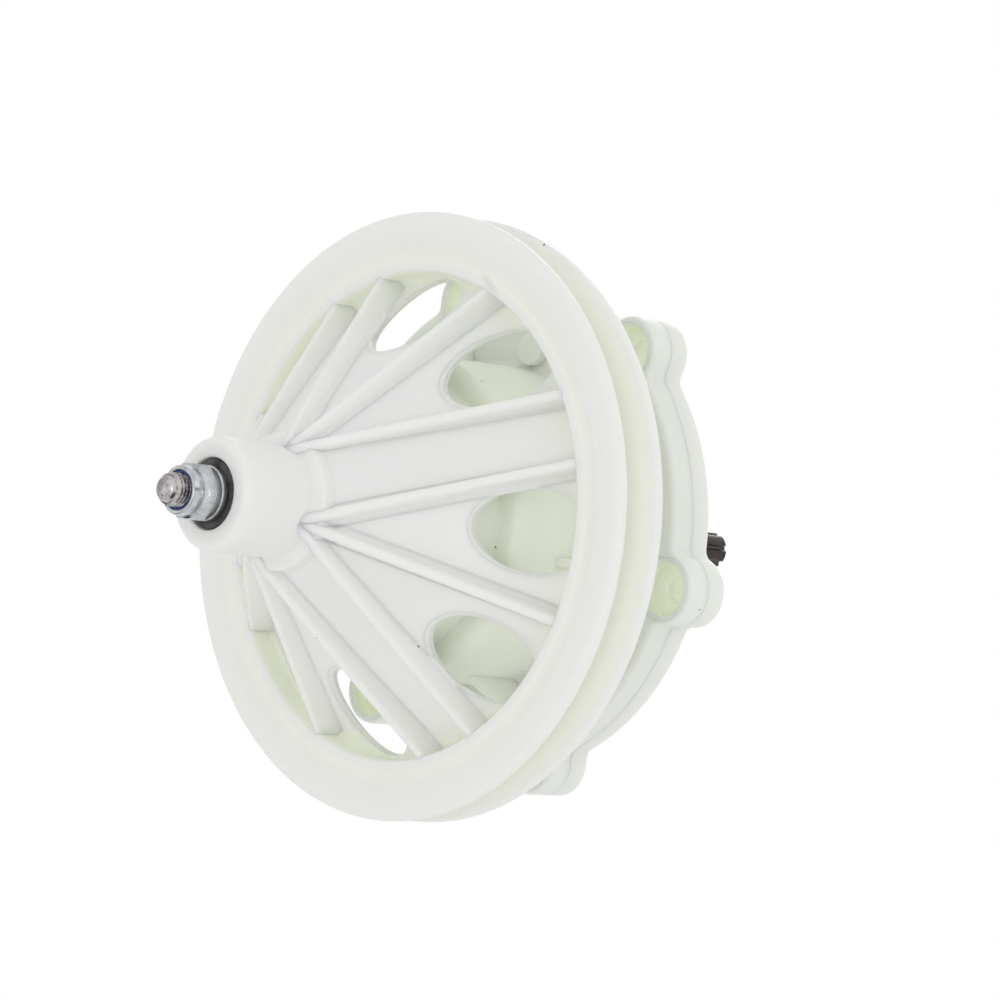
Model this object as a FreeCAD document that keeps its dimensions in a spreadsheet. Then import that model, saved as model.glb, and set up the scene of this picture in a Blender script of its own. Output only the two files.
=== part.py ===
import FreeCAD, Part
import math
import os

import Sketcher

# Speed reducer for a washing machine: a belt pulley drives the sun gear of a planetary
# train inside a two-part moulded case, and the planet carrier turns the splined shaft.
# Millimetres. +Z runs along the axis towards the output shaft. The origin is the centre
# of the mounting face, and +X runs through one of the six mounting ears.

SIZES = [
    # Belt pulley, measured from the front edge of its rim
    ("pulley_radius", 92.0),
    ("pulley_turn", 25.3),
    ("rim_wide", 18.7),
    ("rim_wall", 4.3),
    ("rim_draft", 0.8),
    ("rim_edge_round", 1.4),
    ("groove_edge_round", 1.2),
    ("flange_edge", 3.2),
    ("lip_wide", 3.6),
    ("lip_high", 0.7),
    ("dish_deep", 1.9),
    ("dish_round", 1.6),
    ("groove_deep", 14.0),
    ("groove_slope", 19.0),
    ("web_slope", 45.8),
    ("web_thick", 2.6),
    ("web_rim_high", 11.31),
    ("hub_radius", 16.7),
    ("hub_long", 30.3),
    ("hub_edge_round", 2.4),
    ("hub_foot_round", 1.4),
    ("hub_foot_high", 6.0),
    ("hub_shoulder_wide", 3.7),
    ("hub_shoulder_high", 4.2),
    ("hub_shoulder_round", 0.9),
    ("recess_play", 0.3),
    ("recess_deep", 2.4),
    ("recess_edge_round", 0.5),
    ("spoke_count", 4),
    ("rib_thick", 3.0),
    ("rib_offset", 10.7),
    ("rib_high_hub", 5.1),
    ("rib_drop_rim", 0.6),
    ("rib_flare", 1.6),
    ("window_radius", 12.8),
    ("window_rim_gap", 0.9),
    ("window_rib_gap", 0.26),
    # Nut end of the input shaft
    ("stud_radius", 4.9),
    ("thread_pitch", 1.25),
    ("thread_deep", 0.65),
    ("stud_past_nut", 5.9),
    ("stud_tip_radius", 2.6),
    ("stud_tip_long", 1.8),
    ("stud_tip_round", 1.2),
    ("stud_shoulder_deep", 1.0),
    ("washer_play", 0.2),
    ("flat_washer_radius", 10.2),
    ("flat_washer_thick", 2.0),
    ("spring_washer_radius", 8.1),
    ("spring_washer_thick", 2.1),
    ("spring_washer_split", 1.2),
    ("nut_across_flats", 16.0),
    ("nut_turn", 50.5),
    ("nut_base_high", 2.4),
    ("nut_hex_high", 3.9),
    ("nut_collar_high", 3.7),
    ("nut_collar_radius", 7.2),
    ("nut_collar_round", 0.9),
    ("nut_collar_step", 0.3),
    ("nut_chamfer", 1.0),
    ("nut_face_share", 0.98),
    ("collar_lip_wide", 0.9),
    ("collar_lip_thick", 0.9),
    ("insert_radius", 6.2),
    ("insert_high", 2.4),
    # Input shaft
    ("input_radius", 8.0),
    ("drive_step", 1.5),
    ("drive_flat", 4.8),
    ("sun_seat_step", 2.5),
    ("shaft_chamfer", 0.5),
    ("sun_washer_wide", 2.5),
    # Case
    ("rear_layer", 7.9),
    ("front_layer", 8.6),
    ("flange_past_ears", 0.7),
    ("case_wall", 3.0),
    ("rear_plate_thick", 4.0),
    ("barrel_long", 39.6),
    ("barrel_wall", 3.8),
    ("barrel_draft", 0.8),
    ("ring_wall", 6.0),
    ("shoulder_round", 6.0),
    ("nose_long", 14.0),
    ("nose_step", 6.8),
    ("nose_tip_radius", 20.0),
    ("nose_round", 3.0),
    ("nose_foot_round", 0.5),
    ("flange_foot_round", 3.0),
    ("web_gap", 6.0),
    ("ear_count", 6),
    ("ear_circle_radius", 74.0),
    ("ear_radius", 10.7),
    ("ear_blend", 3.0),
    ("ear_edge_round", 1.2),
    ("socket_radius", 8.5),
    ("socket_floor", 2.2),
    ("bolt_hole_radius", 4.25),
    ("gusset_thick", 3.0),
    ("gusset_long", 23.0),
    ("gusset_edge", 1.5),
    ("post_inset", 4.6),
    ("post_radius", 5.0),
    ("post_high", 3.6),
    ("screw_radius", 2.2),
    ("screw_head_radius", 4.5),
    ("screw_head_high", 2.6),
    ("screw_sink", 3.2),
    ("screw_long", 15.0),
    ("screw_cross_long", 4.4),
    ("screw_cross_wide", 0.9),
    ("screw_cross_deep", 1.8),
    ("joint_ring_radius", 0.9),
    ("joint_ring_inset", 5.5),
    ("tower_high", 59.5),
    ("tower_foot_radius", 19.0),
    ("tower_top_radius", 16.0),
    ("tower_foot_round", 4.0),
    ("tower_top_round", 1.0),
    ("tower_rib_reach", 42.0),
    ("tower_rib_high", 28.0),
    ("tower_rib_toe", 1.5),
    ("tower_rib_thick", 3.0),
    # Bushes and seals
    ("bush_wall", 2.5),
    ("input_bush_long", 14.0),
    ("output_bush_long", 18.0),
    ("seal_wall", 5.0),
    ("seal_long", 5.5),
    ("seal_skin", 1.4),
    ("seal_lip_thick", 1.2),
    ("land_play", 1.0),
    ("bearing_tube_wall", 3.2),
    # Gears: one module, the ring's teeth follow from the sun's and the planets'
    ("gear_module", 1.25),
    ("sun_teeth", 16),
    ("planet_teeth", 22),
    ("planet_count", 4),
    ("pressure_angle", 20.0),
    ("tooth_height", 0.95),
    ("tooth_root", 1.2),
    ("tooth_thinning", 0.1),
    ("gear_wide", 16.0),
    ("key_wide", 5.0),
    ("key_high", 1.4),
    ("key_count", 6),
    # Carrier and planet pins
    ("carrier_play", 1.31),
    ("carrier_plate_thick", 6.0),
    ("carrier_cover_thick", 3.0),
    ("carrier_hub_radius", 14.0),
    ("carrier_hub_long", 14.0),
    ("carrier_hub_round", 2.0),
    ("carrier_edge_round", 1.0),
    ("carrier_post_edge", 0.8),
    ("carrier_post_radius", 3.6),
    ("carrier_screw_radius", 1.6),
    ("carrier_screw_head_radius", 2.9),
    ("carrier_screw_head_high", 1.6),
    ("carrier_screw_long", 9.0),
    ("pin_radius", 4.0),
    ("planet_bush_wall", 1.5),
    ("thrust_thick", 1.0),
    ("planet_washer_wide", 4.0),
    # Output shaft
    ("output_radius", 7.0),
    ("output_drive_step", 0.5),
    ("output_drive_flat", 4.8),
    ("spline_radius", 5.7),
    ("spline_root_radius", 4.6),
    ("spline_teeth", 6),
    ("spline_tooth_share", 0.66),
    ("spline_turn", 8.0),
    ("spline_long", 24.0),
    ("spline_run_in", 1.2),
    ("spline_chamfer", 0.4),
    ("shaft_above_tower", 27.5),
    ("end_thread_radius", 2.5),
    ("end_thread_long", 14.0),
    # Retaining rings and clearances
    ("clip_thick", 1.2),
    ("clip_deep", 0.8),
    ("clip_wide", 2.4),
    ("running", 0.04),
    ("fit", 0.05),
    ("gap", 0.3),
]

# Sizes that follow from those above
FOLLOWS = {
    "rim_bore_radius": "pulley_radius - groove_deep - rim_wall",
    "hub_shoulder_radius": "hub_radius + hub_shoulder_wide",
    "web_rise": "tan(web_slope * 1deg) * (rim_bore_radius - hub_shoulder_radius) - web_rim_high",
    "hub_reach": "web_rise + hub_long",
    "recess_radius": "flat_washer_radius + recess_play",
    "window_circle_radius": "rim_bore_radius - window_rim_gap - window_radius",
    "window_beside": "rib_offset + rib_thick / 2 + window_rib_gap + window_radius",
    "window_along": "sqrt(pow(window_circle_radius; 2) - pow(window_beside; 2))",
    "drive_radius": "input_radius - drive_step",
    "sun_seat_radius": "input_radius - sun_seat_step",
    "pitch_sun": "gear_module * sun_teeth / 2",
    "pitch_planet": "gear_module * planet_teeth / 2",
    "orbit": "pitch_sun + pitch_planet",
    "pitch_ring": "orbit + pitch_planet",
    "barrel_bore_radius": "pitch_ring + tooth_root * gear_module + ring_wall",
    "barrel_radius": "barrel_bore_radius + barrel_wall",
    "barrel_round": "min(shoulder_round; nose_step - nose_foot_round - fit)",
    "nose_radius": "barrel_radius - nose_step",
    "case_radius": "ear_circle_radius + flange_past_ears",
    "socket_deep": "front_layer - socket_floor",
    "joint_ring_circle_radius": "barrel_bore_radius + joint_ring_inset",
    "post_circle_radius": "joint_ring_circle_radius + joint_ring_radius + post_inset",
    "carrier_radius": "pitch_ring - tooth_height * gear_module - carrier_play",
    "carrier_post_circle_radius": "carrier_radius - carrier_post_edge - carrier_post_radius",
    "output_drive_radius": "output_radius - output_drive_step",
}

doc = FreeCAD.newDocument("washing_machine_gearbox")
sheet = doc.addObject("Spreadsheet::Sheet", "Sizes")
for row, (alias, size) in enumerate(SIZES, start=1):
    sheet.set(f"A{row}", alias)
    sheet.set(f"B{row}", str(size))
    sheet.setAlias(f"B{row}", alias)
doc.recompute()


def expr(text):
    """Write the sheet's name before each size in an expression, and work out those that follow."""
    words = []
    word = ""
    for letter in text + " ":
        if letter.isalnum() or letter == "_":
            word += letter
            continue
        if word in FOLLOWS:
            words.append(f"({expr(FOLLOWS[word])})")
        else:
            words.append("Sizes." + word if word in ALIASES else word)
        words.append(letter)
        word = ""
    return "".join(words).strip()


def number(text):
    """The value of an expression, for shapes that are worked out here."""
    value = sheet.evalExpression(expr(text))
    return float(getattr(value, "Value", value))


ALIASES = {alias for alias, size in SIZES}
# How far a cutting shape runs past the face that it opens
PAST = 1
SHOWN = []

# Heights of the case, from the mounting face towards the pulley
PARTING = "(-rear_layer)"
FLANGE = "(-rear_layer - front_layer)"
SHOULDER = f"({FLANGE} - barrel_long)"
NOSE = f"({SHOULDER} - nose_long)"
SLOPE = "tan(web_slope * 1deg)"
STEEP = "cos(web_slope * 1deg)"
TIP = f"({NOSE} - {SLOPE} * (nose_radius - nose_tip_radius))"

# Heights of the gears, from the step that the ring gear rests on inside the barrel
RING_FRONT = f"({SHOULDER} + shoulder_round + case_wall + running)"
RING_REAR = f"({RING_FRONT} + gear_wide + 2 * gap)"
PLANET_FRONT = f"({RING_FRONT} + gap)"
PLANET_REAR = f"({PLANET_FRONT} + gear_wide)"
COVER_REAR = f"({PLANET_FRONT} - thrust_thick - 2 * gap)"
COVER_FRONT = f"({COVER_REAR} - carrier_cover_thick)"
PLATE_FRONT = f"({PLANET_REAR} + thrust_thick + 2 * gap)"
PLATE_REAR = f"({PLATE_FRONT} + carrier_plate_thick)"
HUB_REAR = f"({PLATE_REAR} + carrier_hub_long)"
TUBE_END = f"({COVER_FRONT} - thrust_thick - 2 * gap)"
SUN_FRONT = f"({TUBE_END} + thrust_thick + 2 * gap)"
BOSS_FRONT = f"({HUB_REAR} + thrust_thick + 2 * gap)"

# The web of the pulley runs parallel to the nose of the case, one gap in front of it
WEB_AXIAL = f"(web_thick / {STEEP})"
RIM = f"({NOSE} - web_gap - {WEB_AXIAL} + web_rise - {SLOPE} * (nose_radius - hub_shoulder_radius))"
HUB_FACE = f"({RIM} - hub_reach)"
HUB_BACK = f"({RIM} - web_rise + {WEB_AXIAL})"
RECESS_FLOOR = f"({HUB_FACE} + recess_deep)"
NUT_SEAT = f"({RECESS_FLOOR} - flat_washer_thick - spring_washer_thick)"
NUT_END = f"({NUT_SEAT} - nut_base_high - nut_hex_high - nut_collar_high)"
STUD_END = f"({NUT_END} - stud_past_nut)"

# Heights of the tower and of the output shaft
TOWER_TOP = "tower_high"
SEAL_FLOOR = f"({TOWER_TOP} - seal_long)"
CLIP_SEAT = f"({SEAL_FLOOR} - clip_thick - 2 * gap)"
SHAFT_END = f"({TOWER_TOP} + shaft_above_tower)"
SPLINE_START = f"({SHAFT_END} - spline_long)"


def web_front(radius):
    """Height of the web's front face above the rim's front edge, at a radius."""
    return f"(-web_rise + {SLOPE} * ({radius} - hub_shoulder_radius))"


def bind(thing, **sizes):
    """Tie properties of an object to expressions."""
    for name, text in sizes.items():
        thing.setExpression(name, expr(text))
    return thing


def place(thing, across="0", along="0", up="0", turn="0"):
    """Tie an object's place, and its turn about Z, to expressions."""
    thing.Placement = FreeCAD.Placement(FreeCAD.Vector(), FreeCAD.Rotation(FreeCAD.Vector(0, 0, 1), 0))
    thing.setExpression("Placement.Base.x", expr(across))
    thing.setExpression("Placement.Base.y", expr(along))
    thing.setExpression("Placement.Base.z", expr(up))
    thing.setExpression("Placement.Rotation.Angle", expr(f"({turn}) * 1deg"))
    return thing


def show(thing, label):
    """Mark an object as one piece of the gearbox."""
    thing.Label = label
    SHOWN.append(thing)
    return thing


def outline(body, name, role, points):
    """A closed outline of straight lines, each corner tied to a pair of expressions."""
    plane = [item for item in body.Origin.OriginFeatures if item.Role == role][0]
    sketch = body.newObject("Sketcher::SketchObject", name)
    sketch.AttachmentSupport = [(plane, "")]
    sketch.MapMode = "FlatFace"
    places = [(number(x), number(y)) for x, y in points]
    count = len(points)
    for i in range(count):
        start = FreeCAD.Vector(*places[i], 0)
        end = FreeCAD.Vector(*places[(i + 1) % count], 0)
        sketch.addGeometry(Part.LineSegment(start, end), False)
    for i in range(count):
        sketch.addConstraint(Sketcher.Constraint("Coincident", i, 2, (i + 1) % count, 1))
        for kind, value, text in (("DistanceX", places[i][0], points[i][0]),
                                  ("DistanceY", places[i][1], points[i][1])):
            index = sketch.addConstraint(Sketcher.Constraint(kind, -1, 1, i, 1, value))
            sketch.setExpression(f"Constraints[{index}]", expr(text))
    return sketch


def turned(name, profile, rounds=()):
    """A solid turned about Z from (radius, height) corners, with rounded circular edges.

    rounds lists (radius of the round, corners that it goes on).
    """
    body = doc.addObject("PartDesign::Body", name)
    sketch = outline(body, name + "_section", "XZ_Plane", profile)
    feature = body.newObject("PartDesign::Revolution", name + "_turn")
    feature.Profile = sketch
    feature.ReferenceAxis = (sketch, ["V_Axis"])
    feature.Angle = 360
    doc.recompute()
    for step, (size, corners) in enumerate(rounds):
        edges = [circle_name(feature.Shape, corner) for corner in corners]
        fillet = body.newObject("PartDesign::Fillet", f"{name}_round{step}")
        fillet.Base = (feature, edges)
        fillet.setExpression("Radius", expr(size))
        doc.recompute()
        feature = fillet
    body.Tip = feature
    return body


def circle_name(shape, corner):
    """The name of the full circle about Z that runs through a corner of the profile."""
    radius, height = number(corner[0]), number(corner[1])
    for index, edge in enumerate(shape.Edges, start=1):
        if isinstance(edge.Curve, Part.Circle) and edge.isClosed():
            middle = edge.Curve.Center
            if abs(edge.Curve.Radius - radius) < 1e-4 and abs(middle.z - height) < 1e-4:
                if math.hypot(middle.x, middle.y) < 1e-4:
                    return f"Edge{index}"
    raise ValueError(f"no circle of radius {radius} at height {height}")


def ring(name, inner, outer, start, end, label=None):
    """A plain ring between two radii and two heights, with its own place on the axis."""
    high = f"({end}) - ({start})"
    body = turned(name, [(inner, "0"), (outer, "0"), (outer, high), (inner, high)])
    place(body, up=start)
    return show(body, label) if label else body


def cylinder(name, radius, start, end, across="0", along="0"):
    """A Part cylinder that stands between two heights."""
    item = doc.addObject("Part::Cylinder", name)
    bind(item, Radius=radius, Height=f"({end}) - ({start})")
    return place(item, across, along, start)


def box(name, wide, deep, start, end, across="0", along="0"):
    """A Part box between two heights, with one corner at across, along."""
    item = doc.addObject("Part::Box", name)
    bind(item, Length=wide, Width=deep, Height=f"({end}) - ({start})")
    return place(item, across, along, start)


def around(name, count, circle, radius, start, end, first="0"):
    """Cylinders spaced evenly on a circle."""
    made = []
    for k in range(count):
        angle = f"(({first}) + {k} * 360 / {count}) * 1deg"
        item = cylinder(f"{name}{k + 1}", radius, start, end,
                        f"{circle} * cos({angle})", f"{circle} * sin({angle})")
        made.append(item)
    return made


def fuse(name, parts):
    """One solid from several."""
    item = doc.addObject("Part::MultiFuse", name)
    item.Shapes = parts
    return item


def cut(name, base, tools):
    """The base without the tools."""
    item = doc.addObject("Part::Cut", name)
    item.Base = base
    item.Tool = tools[0] if len(tools) == 1 else fuse(name + "_tools", tools)
    return item


def group(name, parts, label):
    """Several separate solids kept as one piece of the list."""
    item = doc.addObject("Part::Compound", name)
    item.Links = parts
    return show(item, label)


def shaped(name, shape, up="0", turn="0"):
    """A shape worked out here from the sheet's values."""
    item = doc.addObject("Part::Feature", name)
    item.Shape = shape
    return place(item, up=up, turn=turn)


def round_edges(name, base, size, chosen):
    """Round the straight or curved edges that a test picks."""
    doc.recompute()
    radius = number(size)
    item = doc.addObject("Part::Fillet", name)
    item.Base = base
    item.Edges = [(i, radius, radius) for i, edge in enumerate(base.Shape.Edges, start=1) if chosen(edge)]
    return item


# Belt pulley: rim, conical web and hub are one turned solid, ribs and windows follow.
GROOVE_FLOOR = "(pulley_radius - groove_deep)"
GROOVE_RUN = "(groove_deep * tan(groove_slope * 1deg))"
FOOT = "(-web_rise - hub_foot_high)"
SHOULDER_FACE = "(-web_rise - hub_shoulder_high)"
RIM_BACK_RADIUS = "(rim_bore_radius + rim_draft)"


def pulley_core():
    profile = [
        ("0", "recess_deep - hub_reach"),
        ("recess_radius", "recess_deep - hub_reach"),
        ("recess_radius", "-hub_reach"),
        ("hub_radius", "-hub_reach"),
        ("hub_radius", FOOT),
        ("hub_shoulder_radius", SHOULDER_FACE),
        ("hub_shoulder_radius", web_front("hub_shoulder_radius")),
        ("rim_bore_radius", web_front("rim_bore_radius")),
        ("rim_bore_radius", "dish_deep"),
        ("pulley_radius - lip_wide", "lip_high"),
        ("pulley_radius - lip_wide + lip_high", "0"),
        ("pulley_radius", "0"),
        ("pulley_radius", "flange_edge"),
        (GROOVE_FLOOR, f"flange_edge + {GROOVE_RUN}"),
        (GROOVE_FLOOR, f"rim_wide - flange_edge - {GROOVE_RUN}"),
        ("pulley_radius", "rim_wide - flange_edge"),
        ("pulley_radius", "rim_wide"),
        (RIM_BACK_RADIUS, "rim_wide"),
        (RIM_BACK_RADIUS, web_front(RIM_BACK_RADIUS) + f" + {WEB_AXIAL}"),
        ("hub_shoulder_radius", f"{WEB_AXIAL} - web_rise"),
        ("0", f"{WEB_AXIAL} - web_rise"),
    ]
    rounds = [
        ("rim_edge_round", [("pulley_radius", "0"), ("pulley_radius", "rim_wide")]),
        ("groove_edge_round", [("pulley_radius", "flange_edge"),
                               ("pulley_radius", "rim_wide - flange_edge")]),
        ("hub_edge_round", [("hub_radius", "-hub_reach")]),
        ("recess_edge_round", [("recess_radius", "-hub_reach")]),
        ("dish_round", [("rim_bore_radius", "dish_deep")]),
        ("hub_foot_round", [("hub_radius", FOOT)]),
        ("hub_shoulder_round", [("hub_shoulder_radius", SHOULDER_FACE)]),
    ]
    return turned("pulley_core", profile, rounds)


def rib_section(distance, offset):
    """Section of a rib across its length: rounded top, straight flanks, flared foot."""
    half = number("rib_thick / 2")
    flare = number("rib_flare")
    buried = number("web_thick / 3")

    def web_at(sideways):
        radius = math.hypot(distance, sideways)
        return number(web_front(str(radius)))

    top_rim = number("dish_deep + rib_drop_rim")
    top_hub = number("-web_rise - rib_high_hub")
    share = math.hypot(distance, offset) - number("hub_shoulder_radius")
    share /= number("rim_bore_radius - hub_shoulder_radius")
    top = top_hub + (top_rim - top_hub) * share
    edges = []
    last = None
    bend = flare * math.sqrt(0.5)
    feet = []
    for side in (-1, 1):
        tip = offset + side * (half + flare)
        level = web_at(tip)
        feet.append([(tip, level + buried), (tip, level),
                     (tip - side * bend, level - flare + bend), (offset + side * half, level - flare)])
    left, right = feet
    crown = [(offset - half, top + half), (offset, top), (offset + half, top + half)]

    def at(point):
        return FreeCAD.Vector(distance, point[0], point[1])

    edges.append(Part.LineSegment(at(left[0]), at(left[1])).toShape())
    edges.append(Part.Arc(at(left[1]), at(left[2]), at(left[3])).toShape())
    edges.append(Part.LineSegment(at(left[3]), at(crown[0])).toShape())
    edges.append(Part.Arc(at(crown[0]), at(crown[1]), at(crown[2])).toShape())
    edges.append(Part.LineSegment(at(crown[2]), at(right[3])).toShape())
    edges.append(Part.Arc(at(right[3]), at(right[2]), at(right[1])).toShape())
    edges.append(Part.LineSegment(at(right[1]), at(right[0])).toShape())
    edges.append(Part.LineSegment(at(right[0]), at(left[0])).toShape())
    return Part.Wire(edges)


def rib(offset):
    """One rib from inside the hub to inside the rim, beside a radius by the offset."""
    start = number("hub_radius - rib_flare - rib_thick")
    end = number("rim_bore_radius + rib_flare")
    if offset:
        start = math.sqrt(max(start ** 2 - offset ** 2, 1.0))
        end = math.sqrt(end ** 2 - offset ** 2)
    shares = (0, 0.15, 0.45, 1) if offset else (0, 1)
    stations = [start + (end - start) * share for share in shares]
    wires = [rib_section(distance, offset) for distance in stations]
    return Part.makeLoft(wires, True, True)


def pulley():
    ribs = []
    offset = number("rib_offset")
    spokes = int(number("spoke_count"))
    for spoke in range(spokes):
        for side, later in ((offset, 0), (-offset, 0), (0, 0.5)):
            turn = f"({spoke} + {later}) * 360 / spoke_count"
            ribs.append(shaped(f"rib{len(ribs) + 1}", rib(side), turn=turn))
    whole = fuse("pulley_ribbed", [pulley_core()] + ribs)
    windows = []
    for spoke in range(spokes):
        angle = f"({spoke} * 360 / spoke_count) * 1deg"
        for side in (1, -1):
            windows.append(cylinder(f"window{len(windows) + 1}", "window_radius", "-web_rise", "web_rise",
                                    f"window_along * cos({angle}) - {side} * window_beside * sin({angle})",
                                    f"window_along * sin({angle}) + {side} * window_beside * cos({angle})"))
    bore = drive_bore("hub_bore", "drive_radius + fit", "drive_flat + fit", "-hub_reach", "0")
    solid = cut("pulley_solid", whole, windows + [bore])
    return show(place(solid, up=RIM, turn="pulley_turn"), "belt_pulley")


def drive_bore(name, radius, flat, start, end):
    """The hollow for a shaft end with two flats."""
    hollow = doc.addObject("Part::Common", name)
    hollow.Base = cylinder(name + "_round", radius, start, end)
    hollow.Tool = box(name + "_flats", f"2 * ({flat})", f"2 * ({radius})", start, end,
                      f"-({flat})", f"-({radius})")
    return hollow


# Nut end: washers in the hub's recess, lock nut and its nylon ring, domed stud.
def nut_end():
    ring("plain_washer", "stud_radius + washer_play", "flat_washer_radius",
         f"{RECESS_FLOOR} - flat_washer_thick", RECESS_FLOOR, "flat_washer")
    coil = ring("split_washer_ring", "stud_radius + washer_play", "spring_washer_radius", NUT_SEAT,
                f"{NUT_SEAT} + spring_washer_thick")
    split = box("washer_split", "spring_washer_radius", "spring_washer_split", f"{NUT_SEAT} - {PAST}",
                f"{NUT_SEAT} + spring_washer_thick + {PAST}",
                f"-spring_washer_radius - {PAST}", "-spring_washer_split / 2")
    show(cut("split_washer", coil, [split]), "spring_washer")
    corner = "(nut_across_flats / 2 / cos(30deg))"
    bore = "stud_radius"
    cap = f"({NUT_END} + collar_lip_thick)"
    face = "nut_across_flats / 2 * nut_face_share"
    top = f"({NUT_END} + nut_collar_high)"
    lip = "insert_radius - collar_lip_wide"
    blank = turned("nut_blank", [
        (bore, NUT_SEAT),
        (face, NUT_SEAT),
        (face, f"{NUT_SEAT} - nut_base_high"),
        (corner, f"{NUT_SEAT} - nut_base_high - nut_chamfer / 2"),
        (corner, f"{top} + nut_chamfer"),
        (face, top),
        ("nut_collar_radius", f"{top} - nut_collar_step"),
        ("nut_collar_radius", NUT_END),
        (lip, NUT_END),
        (lip, cap),
        ("insert_radius", cap),
        ("insert_radius", f"{cap} + insert_high"),
        (bore, f"{cap} + insert_high"),
    ], [("nut_collar_round", [("nut_collar_radius", NUT_END)])])
    prism = doc.addObject("Part::Prism", "nut_prism")
    prism.Polygon = 6
    bind(prism, Circumradius=corner, Height="nut_base_high + nut_hex_high + nut_collar_high")
    place(prism, up=NUT_END, turn="nut_turn")
    nut = doc.addObject("Part::Common", "nut_solid")
    nut.Base = blank
    nut.Tool = prism
    show(nut, "lock_nut")
    ring("insert_ring", bore, "insert_radius", cap, f"{cap} + insert_high", "nylon_insert")


def thread_rings(count):
    """Corners of the open turns of thread, from the dome towards the nut."""
    corners = []
    root = "stud_radius - thread_deep"
    for turn in range(count):
        start = f"{STUD_END} + stud_tip_long + {turn} * thread_pitch"
        corners += [
            (root, start),
            ("stud_radius", f"{start} + 0.4 * thread_pitch"),
            ("stud_radius", f"{start} + 0.55 * thread_pitch"),
            (root, f"{start} + 0.95 * thread_pitch"),
        ]
    return corners


def clip_groove(radius, start):
    """Corners of a groove for a retaining ring, on a shaft of this radius."""
    end = f"{start} + clip_thick + fit"
    return [(radius, start), (f"{radius} - clip_deep", start), (f"{radius} - clip_deep", end), (radius, end)]


def clip(name, radius, start, label):
    """A retaining ring with its mouth open on one side."""
    body = turned(name + "_ring", [
        (f"{radius} - clip_deep", "0"),
        (f"{radius} - clip_deep + clip_wide", "0"),
        (f"{radius} - clip_deep + clip_wide", "clip_thick"),
        (f"{radius} - clip_deep", "clip_thick"),
    ])
    mouth = box(name + "_mouth", f"2 * ({radius})", f"0.8 * ({radius})", "-clip_thick", "2 * clip_thick",
                "0", f"-0.4 * ({radius})")
    return show(place(cut(name, body, [mouth]), up=start), label)


def flat_cutters(name, radius, flat, start, end):
    """Two boxes that leave a pair of flats on a shaft."""
    edge = f"({radius} + {PAST})"
    return [box(f"{name}{side}", f"{edge} - {flat}", f"2 * {edge}", start, end, across, f"-{edge}")
            for side, across in enumerate((flat, f"-{edge}"))]


INPUT_CLIP = f"({TIP} - gap - clip_thick)"
SUN_REAR = f"({PLANET_REAR} - 2 * clip_thick)"
INPUT_END = f"({PLANET_REAR} + gap)"


def input_shaft():
    count = max(1, int(number("(stud_past_nut - stud_tip_long) / thread_pitch")))
    drive_start = f"{RECESS_FLOOR} + stud_shoulder_deep"
    tip = ("stud_tip_radius", STUD_END)
    profile = [("0", STUD_END), tip]
    profile += [("stud_radius - thread_deep", f"{STUD_END} + stud_tip_long - thread_pitch / 4")]
    profile += thread_rings(count)
    profile += [
        ("stud_radius", f"{STUD_END} + stud_tip_long + ({count} + 0.4) * thread_pitch"),
        ("stud_radius", drive_start),
        ("drive_radius", drive_start),
        ("drive_radius", HUB_BACK),
        ("input_radius", HUB_BACK),
    ]
    profile += clip_groove("input_radius", INPUT_CLIP)
    profile += [("input_radius", SUN_FRONT), ("sun_seat_radius", SUN_FRONT)]
    profile += clip_groove("sun_seat_radius", f"({SUN_REAR} + fit)")
    profile += [
        ("sun_seat_radius", f"{INPUT_END} - shaft_chamfer"),
        ("sun_seat_radius - shaft_chamfer", INPUT_END),
        ("0", INPUT_END),
    ]
    blank = turned("input_blank", profile, [("stud_tip_round", [tip])])
    tools = flat_cutters("input_flat", "input_radius", "drive_flat", f"{RECESS_FLOOR} - gap", HUB_BACK)
    solid = place(cut("input_solid", blank, tools), turn="pulley_turn")
    show(solid, "input_shaft")
    clip("front_clip", "input_radius", INPUT_CLIP, "input_circlip")
    clip("sun_clip", "sun_seat_radius", f"({SUN_REAR} + fit)", "sun_circlip")
    ring("sun_thrust", "input_radius + fit", "input_radius + sun_washer_wide", f"{TUBE_END} + gap",
         f"{TUBE_END} + gap + thrust_thick", "sun_thrust_washer")


# Gear teeth: each flank is one arc through three points of the involute.
def involute(angle):
    return math.tan(angle) - angle


def tooth_half_angle(radius, pitch_radius, count, thicker):
    """Half of the angle that a tooth fills at a radius."""
    pressure = math.radians(number("pressure_angle"))
    base = pitch_radius * math.cos(pressure)
    here = math.acos(min(1.0, base / radius))
    return math.pi / (2 * count) + thicker / (2 * pitch_radius) + involute(pressure) - involute(here)


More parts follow.
